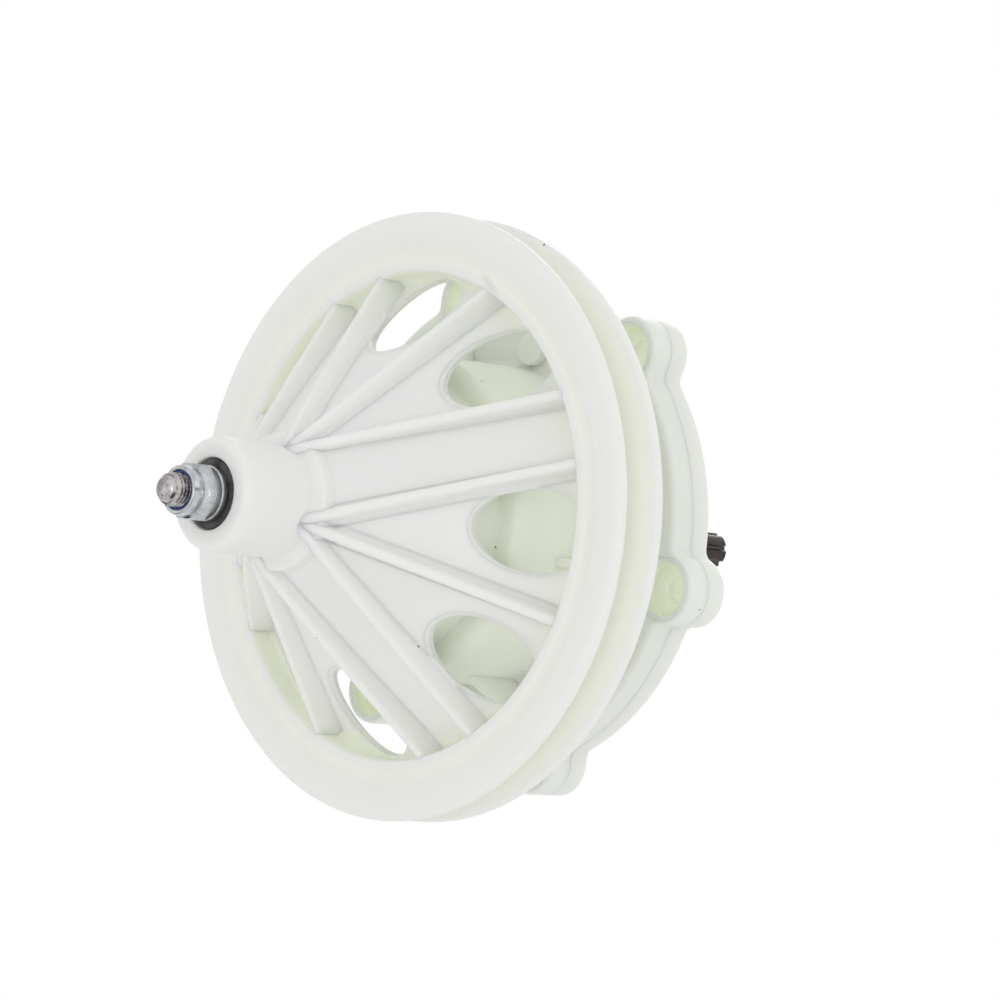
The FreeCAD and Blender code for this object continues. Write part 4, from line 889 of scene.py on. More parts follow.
@dataclass
class BeltPulley(Group):
    """The moulded pulley: grooved rim, conical web with windows, paired ribs and a long hub."""

    front: float = -58.541
    turn: float = 25.3
    radius: float = 92.0
    wide: float = 18.7
    groove_floor: float = 78.0
    flange_edge: float = 3.2
    groove_run: float = 4.82
    bore: float = 73.7
    bore_edge: float = 0.9
    dish: float = 1.5
    draft: float = 0.8
    web_thick: float = 3.73
    web_rise: float = 43.5
    slope: float = 1.02833
    hub_radius: float = 16.7
    hub_reach: float = 73.8
    shoulder_radius: float = 20.4
    shoulder_high: float = 4.2
    foot_high: float = 6.0
    recess_radius: float = 10.5
    recess_deep: float = 2.4
    shaft_radius: float = 6.55
    shaft_flat: float = 4.85
    rib_half: float = 1.5
    rib_offset: float = 10.7
    rib_flare: float = 1.6
    rib_high: float = 5.1
    rib_rim: float = 1.2
    rib_tail: float = 1.9
    rib_root: float = 1.0
    rib_steps: int = 28
    flare_steps: int = 5
    crown_steps: int = 10
    window_radius: float = 12.8
    window_along: float = 54.42
    window_beside: float = 25.26
    window_steps: int = 96
    bead: float = 1.15
    bead_wall: float = 0.2
    # Shares of painted glow and yellow-green tint on the window beads, in the rim's channel, its groove and
    # its inner corner, and the width of the corner's painted band.
    bead_painted_glow: float = 0.25
    channel_painted_glow: float = 0.3
    groove_painted_glow: float = 0.35
    corner_painted_glow: float = 0.65
    corner_wide: float = 7.0
    spokes: int = 4

    def web(self, radius: float) -> float:
        """Height of the web's front face at a radius."""
        return self.front - self.web_rise + self.slope * (radius - self.shoulder_radius)

    def seat(self, distance: float, beside: float) -> float:
        """Height of the web under a rib, which stays level inside the rim."""
        return self.web(min(math.hypot(distance, beside), self.bore))

    def build(self) -> None:
        """Make the pulley's body, ribs and window beads."""
        self.shop.mount(self.body(), Body.INPUT, Look.PULLEY, "belt_pulley")
        self.shop.mount(self.ribs(), Body.INPUT, Look.PULLEY)
        self.shop.mount(self.window_beads(), Body.INPUT, Look.PULLEY)

    def outline(self) -> list[Vector]:
        """The pulley's section as a rounded loop: hub, web, rim face, groove and back."""
        front, rear, end = self.front, self.front + self.wide, self.front - self.hub_reach
        foot, back, shoulder = self.front - self.web_rise, self.bore + self.draft, self.shoulder_radius
        points = softened([
            (self.shaft_radius, end + self.recess_deep), (self.recess_radius, end + self.recess_deep, 0.4),
            (self.recess_radius, end, 0.6), (self.hub_radius, end, 2.6),
            (self.hub_radius, foot - self.foot_high, 2.0), (shoulder, foot - self.shoulder_high, 1.1),
            (shoulder, self.web(shoulder), 0.8), (self.bore, self.web(self.bore), 1.3),
            (self.bore, front + self.bore_edge, 1.0), (self.bore + 2.2, front + self.bore_edge, 1.5),
            (self.bore + 4.2, front + self.dish, 2.5), (self.bore + 8.6, front + 0.4, 4.0),
            (self.radius - 2.4, front, 2.5), (self.radius, front + 0.5, 1.6),
            (self.radius, front + self.flange_edge, 1.2),
            (self.groove_floor, front + self.flange_edge + self.groove_run, 0.8),
            (self.groove_floor, rear - self.flange_edge - self.groove_run, 0.8),
            (self.radius, rear - self.flange_edge, 1.2), (self.radius, rear, 1.4), (back, rear, 0.8),
            (back, self.web(back) + self.web_thick, 1.5), (shoulder, foot + self.web_thick, 2.0),
            (self.shaft_radius, foot + self.web_thick)])
        return divided(points + points[:1], 6.0)[:-1]

    def body(self) -> Thing:
        """Rim, web and hub in one turned shape, with the windows cut out."""

        def flats(angle: float, radius: float, height: float) -> float:
            """Give the bore its two flats."""
            return radius if radius > self.shaft_radius + TINY else two_flats(angle, radius, self.shaft_flat)

        bm = turned(self.outline(), turn=self.turn, around=288, form=flats)
        body = self.shop.piece("pulley_body", bm, Look.PULLEY)
        cutters = bmesh.new()
        for spoke in range(self.spokes):
            turn = Matrix.Rotation(math.radians(self.turn) + 2 * math.pi * spoke / self.spokes, 3, "Z")
            for side in (1, -1):
                centre = turn @ Vector((self.window_along, side * self.window_beside, 0)) * MM
                centre.z = self.front * MM
                drum(cutters, self.window_radius, 2 * self.web_rise, centre, self.window_steps)
        # The rim's channel, groove and inner corner get painted glow and yellow-green tint.
        return self.shop.mark_painted_glow(self.shop.cut(body, cutters, Look.PULLEY), self.painted_glow_share)

    def painted_glow_share(self, point: Vector) -> float:
        """Painted glow and yellow-green tint in the rim's channel, its groove and its inner corner, in place
        of light through the plastic.

        Args:
            point: A point of the mesh, in millimetres.

        Returns:
            The share of painted glow, 0 to 1.
        """
        radius, depth = point.xy.length, point.z - self.front
        inside = radius - self.bore
        if 2.5 < inside < 6.5 and depth < 3.0:
            return self.channel_painted_glow
        if depth > 2.0 and self.groove_floor - 0.5 < radius < self.radius - 2.0:
            return self.groove_painted_glow
        if -self.corner_wide < inside < 0.3 and depth > 1.4:
            return min((inside + self.corner_wide) / 10.0, self.corner_painted_glow)
        return 0.0

    def rib_row(self, distance: float, offset: float) -> list[Vector]:
        """One section of a rib, with a round crown and a hollow flare at each foot.

        Args:
            distance: How far along the spoke the section stands.
            offset: How far beside the spoke's middle the rib stands.

        Returns:
            The section's points from foot to foot, in metres.
        """
        share = (math.hypot(distance, offset) - self.shoulder_radius) / (self.bore - self.shoulder_radius)
        top_hub = -self.web_rise - self.rib_high
        top = self.front + top_hub + (self.rib_rim - top_hub) * min(share, 1.0)
        half, flare = self.rib_half, self.rib_flare
        left = []
        for k in range(self.flare_steps + 1):
            angle = math.radians(90) * k / self.flare_steps
            level = self.seat(distance, offset - half - flare) - flare * (1 - math.cos(angle))
            left.append((-(half + flare - flare * math.sin(angle)), level))
        turns = [math.pi * k / self.crown_steps for k in range(self.crown_steps + 1)]
        crown = [(-half * math.cos(turn), top + half - half * math.sin(turn)) for turn in turns]
        right = []
        for beside, level in reversed(left):
            lift = self.seat(distance, offset - beside) - self.seat(distance, offset + beside)
            right.append((-beside, level + lift))
        roots = [(beside, level + self.rib_root) for beside, level in (left[0], right[-1])]
        section = roots[:1] + left + crown + right + roots[1:]
        return [Vector((distance, offset + beside, level)) * MM for beside, level in section]

    def ribs(self) -> Thing:
        """The eight ribs beside the spokes and the four between them."""
        bm = bmesh.new()
        for offset, turn in ((self.rib_offset, 0.0), (-self.rib_offset, 0.0), (0.0, 0.5)):
            low = math.sqrt((self.hub_radius - self.rib_flare - self.rib_root) ** 2 - offset ** 2)
            high = math.sqrt((self.bore + self.rib_tail) ** 2 - offset ** 2)
            swing = Matrix.Rotation(2 * math.pi * turn / self.spokes, 3, "Z")
            rows = []
            for k in range(self.rib_steps + 1):
                points = self.rib_row(low + (high - low) * k / self.rib_steps, offset)
                rows.append([bm.verts.new(swing @ point) for point in points])
            skin(bm, list(zip(rows, rows[1:])), False)
            bm.faces.new(rows[0])
            bm.faces.new(rows[-1])
        bmesh.ops.recalc_face_normals(bm, faces=bm.faces)
        rib = self.shop.piece("pulley_ribs", bm, Look.PULLEY)
        return self.shop.grown(rib, self.shop.rules.around, Look.PULLEY, count=self.spokes,
                               turn=math.radians(self.turn))

    def window_beads(self) -> Thing:
        """The thick rounded edge of each window, swept along the window's outline."""
        loops = []
        limit = self.bore + self.bead_wall
        reach = self.window_radius + self.bead * 0.45
        for side in (1, -1):
            loop = []
            for k in range(self.window_steps):
                angle = 2 * math.pi * k / self.window_steps
                x = self.window_along + reach * math.cos(angle)
                y = side * self.window_beside + reach * math.sin(angle)
                away = math.hypot(x, y)
                if away > limit:
                    x, y, away = x * limit / away, y * limit / away, limit
                loop.append(Vector((x * MM, y * MM, (self.web(away) + self.bead * 1.5) * MM)))
            loops.append(loop)
        beads = self.shop.beads("pulley_window_beads", loops, Look.PULLEY, self.bead, count=self.spokes,
                                turn=math.radians(self.turn))
        # Each bead gets the same share of painted glow and yellow-green tint.
        return self.shop.mark_painted_glow(beads, lambda point: self.bead_painted_glow)


@dataclass
class NutEnd(Group):
    """The washers, lock nut and nylon ring on the threaded end of the input shaft."""

    floor: float = -129.94
    flat_radius: float = 10.2
    flat_thick: float = 2.0
    spring_radius: float = 8.1
    spring_thick: float = 2.1
    split: float = 1.2
    hex_half: float = 8.0
    hex_ease: float = 0.22
    base_high: float = 2.4
    hex_high: float = 3.9
    collar_high: float = 3.7
    collar_radius: float = 7.2
    chamfer: float = 1.0
    face_share: float = 0.98
    turn: float = 50.5
    bore: float = 4.9
    insert_radius: float = 6.2
    insert_high: float = 2.4
    lip_thick: float = 0.6
    lip_wide: float = 0.35
    play: float = 0.2

    @property
    def seat(self) -> float:
        """Height of the face that the nut sits on."""
        return self.floor - self.flat_thick - self.spring_thick

    @property
    def top(self) -> float:
        """Height of the hexagon's end, where the collar begins."""
        return self.seat - self.base_high - self.hex_high

    @property
    def cap(self) -> float:
        """Height of the nylon ring's face, inside the collar's lip."""
        return self.top - self.collar_high + self.lip_thick

    def build(self) -> None:
        """Make the washers, the nut and its ring."""
        flat = self.washer("pulley_flat_washer", self.flat_radius, self.floor - self.flat_thick,
                           self.flat_thick, Look.DARK)
        self.shop.mount(flat, Body.INPUT, Look.DARK, "flat_washer")
        self.shop.mount(self.split_washer(), Body.INPUT, Look.ZINC, "spring_washer")
        self.shop.mount(self.nut(), Body.INPUT, Look.ZINC, "lock_nut")
        self.shop.mount(self.ring(), Body.INPUT, Look.RING, "nylon_insert")

    def washer(self, name: str, radius: float, start: float, thick: float, look: Look) -> Thing:
        """A washer with rolled edges.

        Args:
            name: The piece's name.
            radius: Its outer radius.
            start: Its front face's height.
            thick: Its thickness.
            look: Its finish.

        Returns:
            The washer.
        """
        inner, edge = self.bore + self.play, thick * 0.22
        points = softened([(inner, start, edge), (radius, start, edge), (radius, start + thick, edge),
                           (inner, start + thick, edge)])
        return self.shop.piece(name, turned(points), look)

    def split_washer(self) -> Thing:
        """The spring washer, split on the side away from the first ear."""
        coil = self.washer("pulley_spring_washer", self.spring_radius, self.seat, self.spring_thick,
                           Look.ZINC)
        gap = bmesh.new()
        block(gap, (self.spring_radius, self.split, 9.0), (-self.spring_radius / 2 - 1.0, 0.0, self.seat))
        return self.shop.cut(coil, gap, Look.ZINC)

    def nut(self) -> Thing:
        """Round base, hexagon with chamfered corners and a rolled collar over the nylon ring."""
        corner = self.hex_half / math.cos(math.pi / 6)
        face = self.hex_half * self.face_share
        top, foot = self.top, self.seat - self.base_high
        end, cap, rim = top - self.collar_high, self.cap, self.collar_radius
        lip = self.insert_radius - self.lip_wide

        def hexagon(angle: float, radius: float, height: float) -> float:
            """Cut the blank down to six flats with eased corners."""
            if not top - 0.05 < height < foot + 0.05:
                return radius
            sector = angle % (math.pi / 3) - math.pi / 6
            return min(radius, self.hex_half / math.cos(sector), corner - self.hex_ease)

        shares = [k / 10 for k in range(11)]
        lower = [Vector((face + (corner - face) * k, foot - self.chamfer / 2 * k)) for k in shares]
        upper = [Vector((corner - (corner - face) * k, top + self.chamfer * (1 - k))) for k in shares]
        base = softened([(self.bore, self.seat), (face, self.seat, 0.35), (face, foot, 0.1), (corner, foot)],
                        closed=False)
        collar = softened([
            (face, top), (rim - 0.6, top - 0.1, 0.15), (rim - 0.5, top - 0.7, 0.2), (rim, top - 1.1, 0.3),
            (rim, end, 1.1), (lip, end, 0.25), (lip, cap), (self.insert_radius, cap),
            (self.insert_radius, cap + self.insert_high), (self.bore, cap + self.insert_high)], closed=False)
        points = base[:-1] + lower[1:] + upper + collar[1:]
        return self.shop.piece("pulley_lock_nut", turned(points, around=240, turn=self.turn, form=hexagon),
                               Look.ZINC)

    def ring(self) -> Thing:
        """The nylon ring that grips the thread, seen inside the collar's lip."""
        start, end = self.cap, self.cap + self.insert_high
        points = softened([(self.bore, start, 0.3), (self.insert_radius, start, 0.2),
                           (self.insert_radius, end, 0.2), (self.bore, end, 0.2)])
        return self.shop.piece("pulley_nut_ring", turned(points), Look.RING)


@dataclass
class InputShaft(Group):
    """The shaft that carries the pulley: domed and threaded stud, flats, journal and gear seat."""

    turn: float = 25.3
    tip: float = -149.94
    crest: float = 4.9
    root: float = 4.25
    pitch: float = 1.25
    thread_start: float = 2.0
    thread_long: float = 4.9
    flats_start: float = -130.24
    drive_start: float = -128.94
    drive_radius: float = 6.5
    drive_flat: float = 4.8
    hub_back: float = -98.31
    journal: float = 8.0
    journal_groove: float = -94.22
    gear_seat: float = -51.36
    seat_radius: float = 5.5
    seat_groove: float = -33.11
    groove_wide: float = 1.25
    groove_deep: float = 0.8
    end: float = -30.46

    def build(self) -> None:
        """Make the shaft and the thread at its end."""
        self.shop.mount(self.shaft(), Body.INPUT, Look.STUD, "input_shaft")
        self.shop.mount(self.thread(), Body.INPUT, Look.STUD)

    def groove(self, radius: float, start: float) -> list[Corner]:
        """The corners of a retaining ring's groove."""
        floor, end = radius - self.groove_deep, start + self.groove_wide
        return [(radius, start), (floor, start), (floor, end), (radius, end)]

    def shaft(self) -> Thing:
        """The whole shaft but for the open turns of its thread."""
        core = self.crest - 0.02
        points = softened([
            (0.0, self.tip), (1.9, self.tip + 0.12, 1.2), (3.5, self.tip + 0.95, 1.5),
            (self.root, self.tip + 2.3, 1.0), (self.root, self.tip + 6.4), (core, self.tip + 7.0),
            (core, self.drive_start), (self.drive_radius, self.drive_start, 0.3),
            (self.drive_radius, self.hub_back), (self.journal, self.hub_back, 0.3),
            *self.groove(self.journal, self.journal_groove),
            (self.journal, self.gear_seat, 0.3), (self.seat_radius, self.gear_seat),
            *self.groove(self.seat_radius, self.seat_groove),
            (self.seat_radius, self.end, 0.5), (0.0, self.end)], closed=False)

        def flats(angle: float, radius: float, height: float) -> float:
            """Give the drive end its two flats."""
            if self.flats_start < height < self.hub_back - TINY and radius > self.crest:
                return two_flats(angle, radius, self.drive_flat)
            return radius

        return self.shop.piece("input_shaft_body", turned(points, closed=False, turn=self.turn, form=flats),
                               Look.STUD)

    def thread(self) -> Thing:
        """The open turns of thread between the dome and the nut's ring."""
        seed = self.shop.piece("input_shaft_thread", bmesh.new(), Look.STUD)
        return self.shop.grown(seed, self.shop.rules.thread, Look.STUD, root=self.root * MM,
                               crest=self.crest * MM, pitch=self.pitch * MM, rows=65,
                               start=(self.tip + self.thread_start) * MM, length=self.thread_long * MM)


@dataclass
class GearCase(Group):
    """The two moulded halves of the case with their ears, fins, seals and screws."""

    ears: int = 6
    radius: float = 74.7
    ear_circle: float = 74.0
    ear_radius: float = 10.7
    ear_blend: float = 3.0
    edge: float = 1.8
    parting_edge: float = 0.5
    flange: float = -16.5
    parting: float = -7.9
    shoulder: float = -56.1
    nose: float = -70.1
    tip: float = -92.72
    ring_front: float = -47.06
    barrel: float = 48.8
    barrel_bore: float = 45.0
    nose_radius: float = 42.0
    tip_radius: float = 20.0
    socket_radius: float = 8.5
    socket_floor: float = -10.1
    bolt_radius: float = 4.25
    post_circle: float = 56.0
    post_radius: float = 5.0
    post_face: float = -20.1
    pilot_top: float = -18.2
    screw_hole: float = 2.5
    screw_sink: float = 4.8
    key_size: Triple = (2.4, 5.1, 41.2)
    key_place: Triple = (45.2, 0.0, -26.46)
    fin_half: float = 1.5
    fin_edge: float = 0.7
    tower_top: float = 59.5
    tower_foot: float = 19.0
    tower_radius: float = 16.0
    ring_circle: float = 50.5
    ring_half: float = 0.9
    ring_deep: float = 1.8
    bead: float = 0.8
    head_radius: float = 4.5
    head_high: float = 2.6
    sink: float = 3.2
    shank_radius: float = 2.2
    cross_long: float = 4.4
    cross_wide: float = 0.9
    cross_deep: float = 1.8
    cross_taper: float = 0.55
    # Share of painted glow and yellow-green tint on the barrel behind the pulley, where the pulley shades it.
    barrel_painted_glow: float = 0.5
    through: float = 2.0
    # Radius and height inside the front half: the cone, the seal's and bushes' seats, the mouth at the tip
    front_inside: tuple[Corner, ...] = (
        (39.0, -68.88), (18.73, -89.72), (13.74, -89.72), (13.74, -52.96), (10.54, -52.96), (10.54, -66.96),
        (9.0, -66.96), (9.0, -73.22), (10.54, -73.22), (10.54, -87.22), (13.0, -87.22))
    # The same inside the rear half: the seal's and bushes' seats, the floor and the spigot
    rear_inside: tuple[Corner, ...] = (
        (12.0, 54.0), (9.54, 54.0), (9.54, 34.2), (8.0, 34.2), (8.0, 10.44), (9.54, 10.44), (9.54, -7.56),
        (19.0, -7.56), (19.0, -4.0), (41.95, -4.0), (41.95, -30.41), (44.95, -30.41))
    # Radius and height of the corners of a gusset before the flange and of a fin on the tower
    gusset: tuple[Corner, ...] = ((47.8, -39.5), (64.0, -16.5), (64.0, -15.5), (47.8, -15.5))
    fin: tuple[Corner, ...] = ((15.0, -1.0), (42.0, -1.0), (42.0, 1.5), (15.0, 28.0))

    @property
    def step(self) -> float:
        """The angle between two ears, in radians."""
        return 2 * math.pi / self.ears

    def build(self) -> None:
        """Make the halves, fins, seals and screws."""
        moulded = [(self.front_half(), ["front_case"]), (self.rear_half(), ["rear_case"]),
                   (self.fins("case_gussets", self.gusset, 0.0), []),
                   (self.fins("case_tower_fins", self.fin, 0.5), []),
                   (self.posts(), []), (self.socket_beads(), [])]
        for piece, nodes in moulded:
            # Each moulded piece gets painted glow and yellow-green tint behind the pulley and in the sockets.
            self.shop.mount(self.shop.mark_painted_glow(piece, self.painted_glow_share), Body.CASE, Look.CASE, *nodes)
        for node, name in (("case_seal_ring", "case_joint_ring"), ("input_seal", "case_input_seal"),
                           ("output_seal", "case_output_seal")):
            self.shop.mount(self.shop.cad_copy(node, name, Look.SEAL), Body.CASE, Look.SEAL, node)
        self.shop.mount(self.screws(), Body.CASE, Look.ZINC, "case_screws")

    def eared(self, angle: float, inset: float) -> float:
        """Radius of the flange's outline, with ears filleted into it.

        Args:
            angle: The direction from the axis, in radians.
            inset: How far inside the outline the row runs.

        Returns:
            The radius in millimetres.
        """
        away = abs((angle + self.step / 2) % self.step - self.step / 2)
        ear = Vector((self.ear_circle, 0.0))
        reach, arm = self.radius + self.ear_blend, self.ear_radius + self.ear_blend
        turn = math.acos((reach ** 2 + self.ear_circle ** 2 - arm ** 2) / (2 * reach * self.ear_circle))
        if away >= turn:
            return self.radius - inset
        hollow = Vector((reach * math.cos(turn), reach * math.sin(turn)))
        touch = ear + (hollow - ear) * ((self.ear_radius - inset) / arm)
        if away <= math.atan2(touch.y, touch.x):
            side = self.ear_circle * math.sin(away)
            return self.ear_circle * math.cos(away) + math.sqrt((self.ear_radius - inset) ** 2 - side ** 2)
        along = hollow.x * math.cos(away) + hollow.y * math.sin(away)
        return along - math.sqrt(max(along ** 2 - reach ** 2 + (self.ear_blend + inset) ** 2, 0.0))

    def half(self, name: str, corners: list[Corner]) -> Thing:
        """Turn one half of the case, with its flange's edge following the ears.

        Args:
            name: The piece's name.
            corners: Its outline.

        Returns:
            The piece before its holes are cut.
        """
        def ears(angle: float, radius: float, height: float) -> float:
            """Let the flange's edge follow the ears."""
            inset = self.radius - radius
            return self.eared(angle, inset) if inset < self.edge + 0.4 else radius

        points = softened(corners)
        points = divided(points + points[:1], 7.0)[:-1]
        return self.shop.piece(name, turned(points, around=360, form=ears), Look.CASE)

    def front_half(self) -> Thing:
        """The front half: nose, barrel and flange with sockets in its ears."""
        body = self.half("case_front_half", [
            (13.0, self.tip, 0.5), (self.tip_radius, self.tip, 3.0), (self.nose_radius, self.nose, 3.0),
            (self.nose_radius, self.shoulder, 0.8), (self.barrel, self.shoulder, 6.0),
            (self.barrel + 0.8, self.flange, 3.0), (self.radius, self.flange, self.edge),
            (self.radius, self.parting, self.parting_edge), (self.barrel_bore, self.parting),
            (self.barrel_bore, self.ring_front), (self.front_inside[0][0], self.ring_front),
            *self.front_inside])
        below = self.parting + self.through
        cutters = [self.holes(self.socket_radius, self.ear_circle, 0.0, self.flange - 4.0, self.socket_floor),
                   self.holes(self.bolt_radius, self.ear_circle, 0.0, self.socket_floor - 3.0, below),
                   self.holes(self.shank_radius, self.post_circle, 0.5, self.pilot_top, below)]
        for k in range(self.ears):
            verts = block(cutters[-1], self.key_size, self.key_place)
            bmesh.ops.rotate(cutters[-1], verts=verts, cent=(0, 0, 0),
                             matrix=Matrix.Rotation(2 * math.pi * (k + 0.25) / self.ears, 3, "Z"))
        return self.carved(body, cutters)

    def rear_half(self) -> Thing:
        """The rear half: plate, spigot and the tower round the output shaft."""
        near, far = self.ring_circle - self.ring_half, self.ring_circle + self.ring_half
        body = self.half("case_rear_half", [
            (self.rear_inside[0][0], self.tower_top, 0.4), *self.rear_inside,
            (self.rear_inside[-1][0], self.parting), (near, self.parting),
            (near, self.parting + self.ring_deep), (far, self.parting + self.ring_deep), (far, self.parting),
            (self.radius, self.parting, self.parting_edge), (self.radius, 0.0, self.edge),
            (self.tower_foot, 0.0, 4.0), (self.tower_radius, self.tower_top, 1.0)])
        above = self.parting - self.through
        return self.carved(body, [
            self.holes(self.bolt_radius, self.ear_circle, 0.0, above, self.through),
            self.holes(self.screw_hole, self.post_circle, 0.5, above, self.through),
            self.holes(self.screw_sink, self.post_circle, 0.5, -self.sink, self.through)])

    def carved(self, body: Thing, cutters: list[BMesh]) -> Thing:
        """Cut each mesh in turn away from a half of the case."""
        for cutter in cutters:
            body = self.shop.cut(body, cutter, Look.CASE)
        return body

    def painted_glow_share(self, point: Vector) -> float:
        """Painted glow and yellow-green tint on the barrel behind the pulley, where its shade falls, and in
        the sockets, in place of light through the plastic.

        Args:
            point: A point of the mesh, in millimetres.

        Returns:
            The share of painted glow, 0 to 1.
        """
        angle = (math.atan2(point.y, point.x) + self.step / 2) % self.step - self.step / 2
        radius = point.xy.length
        away = math.hypot(radius * math.cos(angle) - self.ear_circle, radius * math.sin(angle))
        if away < self.socket_radius + 0.1 and self.flange + 0.4 < point.z < -1.0:
            return 1.0
        behind = min(max((self.flange - 1.0 - point.z) / 12.0, 0.0), 1.0)
        return self.barrel_painted_glow * behind if radius < 60.0 else 0.0

    def holes(self, radius: float, circle: float, later: float, start: float,
              end: float) -> BMesh:
        """Round cutters at the ears, or between them.

        Args:
            radius: The holes' radius.
            circle: The radius of the circle that they stand on.
            later: The share of a step that the first one is turned by.
            start: Their lower end.
            end: Their upper end.

        Returns:
            The cutters' mesh.
        """
        bm = bmesh.new()
        for k in range(self.ears):
            angle = 2 * math.pi * (k + later) / self.ears
            centre = Vector((circle * math.cos(angle), circle * math.sin(angle), (start + end) / 2)) * MM
            drum(bm, radius, end - start, centre, 64)
        return bm

    def spread(self, thing: Thing, look: Look, later: float) -> Thing:
        """Repeat a piece at the ears, turned on by a share of a step."""
        return self.shop.grown(thing, self.shop.rules.around, look, count=self.ears,
                               turn=2 * math.pi * later / self.ears)

    def fins(self, name: str, corners: tuple[Corner, ...], later: float) -> Thing:
        """Upright fins with softened edges, repeated at the ears or between them.

        Args:
            name: The piece's name.
            corners: Radius and height of the fin's corners.
            later: The share of a step that the first fin is turned by.

        Returns:
            All the fins as one piece.
        """
        bm = bmesh.new()
        near, far = ([bm.verts.new((radius * MM, side * self.fin_half * MM, height * MM))
                      for radius, height in corners] for side in (-1, 1))
        bm.faces.new(near)
        bm.faces.new(far)
        skin(bm, [(near, far)], True)
        bmesh.ops.recalc_face_normals(bm, faces=bm.faces)
        bmesh.ops.bevel(bm, geom=bm.edges[:], offset=self.fin_edge * MM, segments=4, profile=0.5,
                        affect="EDGES")
        return self.spread(self.shop.piece(name, bm, Look.CASE), Look.CASE, later)

    def posts(self) -> Thing:
        """The blind screw posts on the flange's front face."""
        foot = self.flange + 0.3
        points = softened([(0.0, self.post_face), (self.post_radius, self.post_face, 0.9),
                           (self.post_radius, self.flange), (self.post_radius + 1.2, foot), (0.0, foot)],
                          closed=False)
        bm = turned(points, closed=False, around=64)
        bmesh.ops.translate(bm, verts=bm.verts, vec=(self.post_circle * MM, 0, 0))
        return self.spread(self.shop.piece("case_screw_posts", bm, Look.CASE), Look.CASE, 0.5)

    def socket_beads(self) -> Thing:
        """The thick rounded mouth of each ear's socket, swept along its edge."""
        reach = self.socket_radius + 0.45
        turns = [2 * math.pi * k / 64 for k in range(64)]
        loop = [Vector(((self.ear_circle + reach * math.cos(turn)) * MM, reach * math.sin(turn) * MM,
                        (self.flange + 0.62) * MM)) for turn in turns]
        return self.shop.beads("case_socket_beads", [loop], Look.CASE, self.bead, count=self.ears, turn=0.0)

    def screws(self) -> Thing:
        """Six pan-head screws with a cross recess, from one screw."""
        low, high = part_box("case_screws")
        top, foot = high.z / MM, low.z / MM
        seat, shank = top - self.head_high, self.shank_radius
        head = softened([(0.0, top), (self.head_radius - 0.2, top, 0.9), (self.head_radius, seat, 0.2),
                         (shank, seat, 0.3), (shank, foot + 0.8), (shank - 0.7, foot), (0.0, foot)],
                        closed=False)
        screw = self.shop.piece("case_screws_zinc", turned(divided(head, 2.0), closed=False, around=96),
                                Look.ZINC)
        cross = bmesh.new()
        for size in ((self.cross_long, self.cross_wide), (self.cross_wide, self.cross_long)):
            block(cross, (*size, 2 * self.cross_deep), (0.0, 0.0, top))
        for vert in cross.verts:
            if vert.co.z < top * MM:
                vert.co.x *= self.cross_taper
                vert.co.y *= self.cross_taper
        screw = self.shop.cut(screw, cross, Look.ZINC, itself=True)
        screw.data.transform(Matrix.Translation((self.post_circle * MM, 0, 0)))
        return self.spread(screw, Look.ZINC, 0.5)


@dataclass
class OutputShaft(Group):
    """The dark output shaft with its splined end."""

    def build(self) -> None:
        """Make the shaft."""
        shaft = self.shop.cad_copy("output_shaft", "output_shaft_body", Look.SHAFT)
        self.shop.mount(shaft, Body.OUTPUT, Look.SHAFT, "output_shaft")


@dataclass
class InnerTrain(Group):
    """Gears, carrier, bushes and clips inside the case, which keep their CAD shapes."""

    def build(self) -> None:
        """Give each piece inside its finish."""
        looks = {
            Look.GEAR_NYLON: ["ring_gear", *(f"planet_gear_{k}" for k in range(1, 5)), "sun_thrust_washer",
                              "planet_thrust_washers", "output_thrust_washer"],
            Look.GEAR_STEEL: ["sun_gear", "planet_carrier", "carrier_cover", "planet_pins"],
            Look.ZINC: ["carrier_screws"],
            Look.DARK: ["input_circlip", "sun_circlip", "carrier_circlip", "output_circlip"],
            Look.BRONZE: ["input_bush_front", "input_bush_rear", "output_bush_lower", "output_bush_upper",
                          *(f"planet_bush_{k}" for k in range(1, 5))],
        }
        for look, names in looks.items():
            for name in names:
                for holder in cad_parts[name].material_slots:
                    holder.material = self.shop.material(look)
                LOG.info("%s keeps its CAD shape in %s", name, look.value)


# ---- Studio


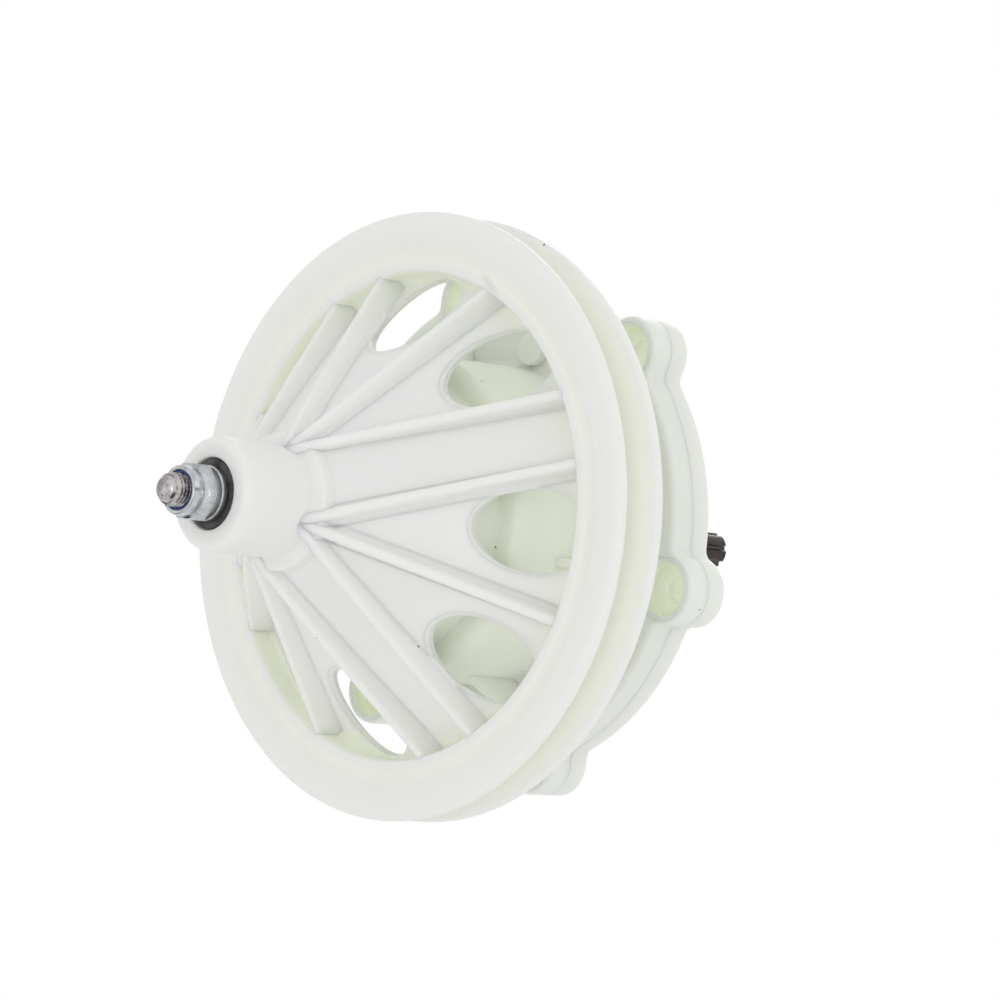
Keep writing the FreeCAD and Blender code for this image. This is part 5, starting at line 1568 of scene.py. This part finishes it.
@dataclass
class Studio:
    """Camera, floor and soft light; its measures are in metres."""

    camera_place: Triple = (0.488066, 0.579374, -0.771485)
    right: Vector = Vector((0.538506, 0.465161, 0.702593)).freeze()
    up: Vector = Vector((0.712312, -0.696738, -0.084671)).freeze()
    ahead: Vector = Vector((-0.450137, -0.546061, 0.706537)).freeze()
    lens: float = 124.30
    sensor: float = 36.0
    floor: float = -0.95
    floor_reach: float = 40.0
    floor_colour: Colour = (0.90, 0.90, 0.90)
    sky_colour: Colour = (0.835, 0.838, 0.84)
    card_colour: Colour = (0.02, 0.02, 0.025)

    def build(self) -> None:
        """Set up the studio."""
        self.camera()
        self.ground()
        self.sky()
        self.lamps()
        self.cards()

    def camera(self) -> None:
        """The camera at the photograph's place."""
        data = bpy.data.cameras.new("camera")
        data.lens, data.sensor_width = self.lens, self.sensor
        data.clip_start, data.clip_end = 0.01, 20.0
        camera = placed("camera", data)
        axes = Matrix((self.right, self.up, -self.ahead)).transposed().to_4x4()
        camera.matrix_world = Matrix.Translation(self.camera_place) @ axes
        bpy.context.scene.camera = camera

    @staticmethod
    def plain(name: str, colour: Colour, roughness: float) -> Paint:
        """Make a plain material.

        Args:
            name: The material's name.
            colour: Its colour.
            roughness: Its roughness.

        Returns:
            The material.
        """
        paint = bpy.data.materials.new(name)
        paint.use_nodes = True
        shader = paint.node_tree.nodes["Principled BSDF"]
        shader.inputs["Base Color"].default_value = (*colour, 1.0)
        shader.inputs["Roughness"].default_value = roughness
        return paint

    @staticmethod
    def sheet(name: str, size: float, matrix: Matrix, paint: Paint, seen: bool) -> None:
        """Add a square sheet to the stage.

        Args:
            name: The object's name.
            size: Half its side.
            matrix: Its place, turn and scale, which its mesh takes up.
            paint: Its material.
            seen: Whether the camera sees it and it takes part in soft light.
        """
        bm = bmesh.new()
        bmesh.ops.create_grid(bm, x_segments=1, y_segments=1, size=size)
        bmesh.ops.transform(bm, matrix=matrix, verts=bm.verts)
        mesh = meshed(name, bm)
        mesh.materials.append(paint)
        sheet = placed(name, mesh)
        sheet.visible_camera = sheet.visible_diffuse = sheet.visible_shadow = seen

    def ground(self) -> None:
        """A plain pale floor below the part."""
        paint = self.plain("floor", self.floor_colour, 0.7)
        self.sheet("floor", self.floor_reach, Matrix.Translation((0, 0, self.floor)), paint, True)

    def sky(self) -> None:
        """A surround that the camera sees white and the part sees a little darker."""
        world = bpy.data.worlds.new("surround")
        world.use_nodes = True
        graph = Graph(world.node_tree)
        seen = graph.add("ShaderNodeLightPath").outputs["Is Camera Ray"]
        back = world.node_tree.nodes["Background"]
        graph.feed(back.inputs[0], graph.blend(seen, self.sky_colour, (1.0, 1.0, 1.0)))
        back.inputs[1].default_value = 1.0
        bpy.context.scene.world = world
        bpy.context.scene.view_settings.view_transform = "Standard"

    def lamps(self) -> None:
        """Three large soft lamps that look at the part."""
        right, up, ahead = self.right, self.up, self.ahead
        lamps = {
            "key": (-ahead - right * 0.35, 0.7, 1.9),
            "fill": (right + up * 0.3 - ahead * 0.3, 0.9, 0.6),
            "back": (up * 0.4 + right * 0.3 + ahead * 1.1, 0.9, 2.6),
        }
        for name, (place, size, power) in lamps.items():
            data = bpy.data.lights.new(name, "AREA")
            data.shape, data.size, data.energy = "DISK", size, power
            lamp = placed(name, data)
            lamp.location = place
            lamp.rotation_mode = "QUATERNION"
            lamp.rotation_quaternion = (-place).to_track_quat("-Z", "Y")

    def cards(self) -> None:
        """Dark cards round the camera that only polished metal mirrors."""
        right, up, ahead = self.right, self.up, self.ahead
        paint = self.plain("card", self.card_colour, 1.0)
        cards = {
            "card_below": (-ahead * 0.9 - up * 0.95 + right * 0.1, 1.3, 0.35),
            "card_right": (-ahead * 0.6 + right * 1.15 + up * 0.15, 0.3, 1.2),
            "card_left": (-ahead * 0.3 - right * 1.2 - up * 0.25, 0.35, 1.0),
        }
        for name, (place, wide, high) in cards.items():
            turn = place.to_track_quat("-Z", "Y").to_matrix().to_4x4()
            matrix = Matrix.Translation(place) @ turn @ Matrix.Diagonal((wide, high, 1.0, 1.0))
            self.sheet(name, 0.5, matrix, paint, False)


def main() -> None:
    """Build the gearbox's pieces in order, then the studio."""
    logging.basicConfig(level=logging.INFO, format="%(name)s: %(message)s")
    shop = Shop()
    groups = [kind(shop) for kind in (BeltPulley, NutEnd, InputShaft, GearCase, OutputShaft, InnerTrain)]
    for group in (*groups, Studio()):
        group.build()
        LOG.info("%s is built", type(group).__name__)


if __name__ == "__main__":
    main()
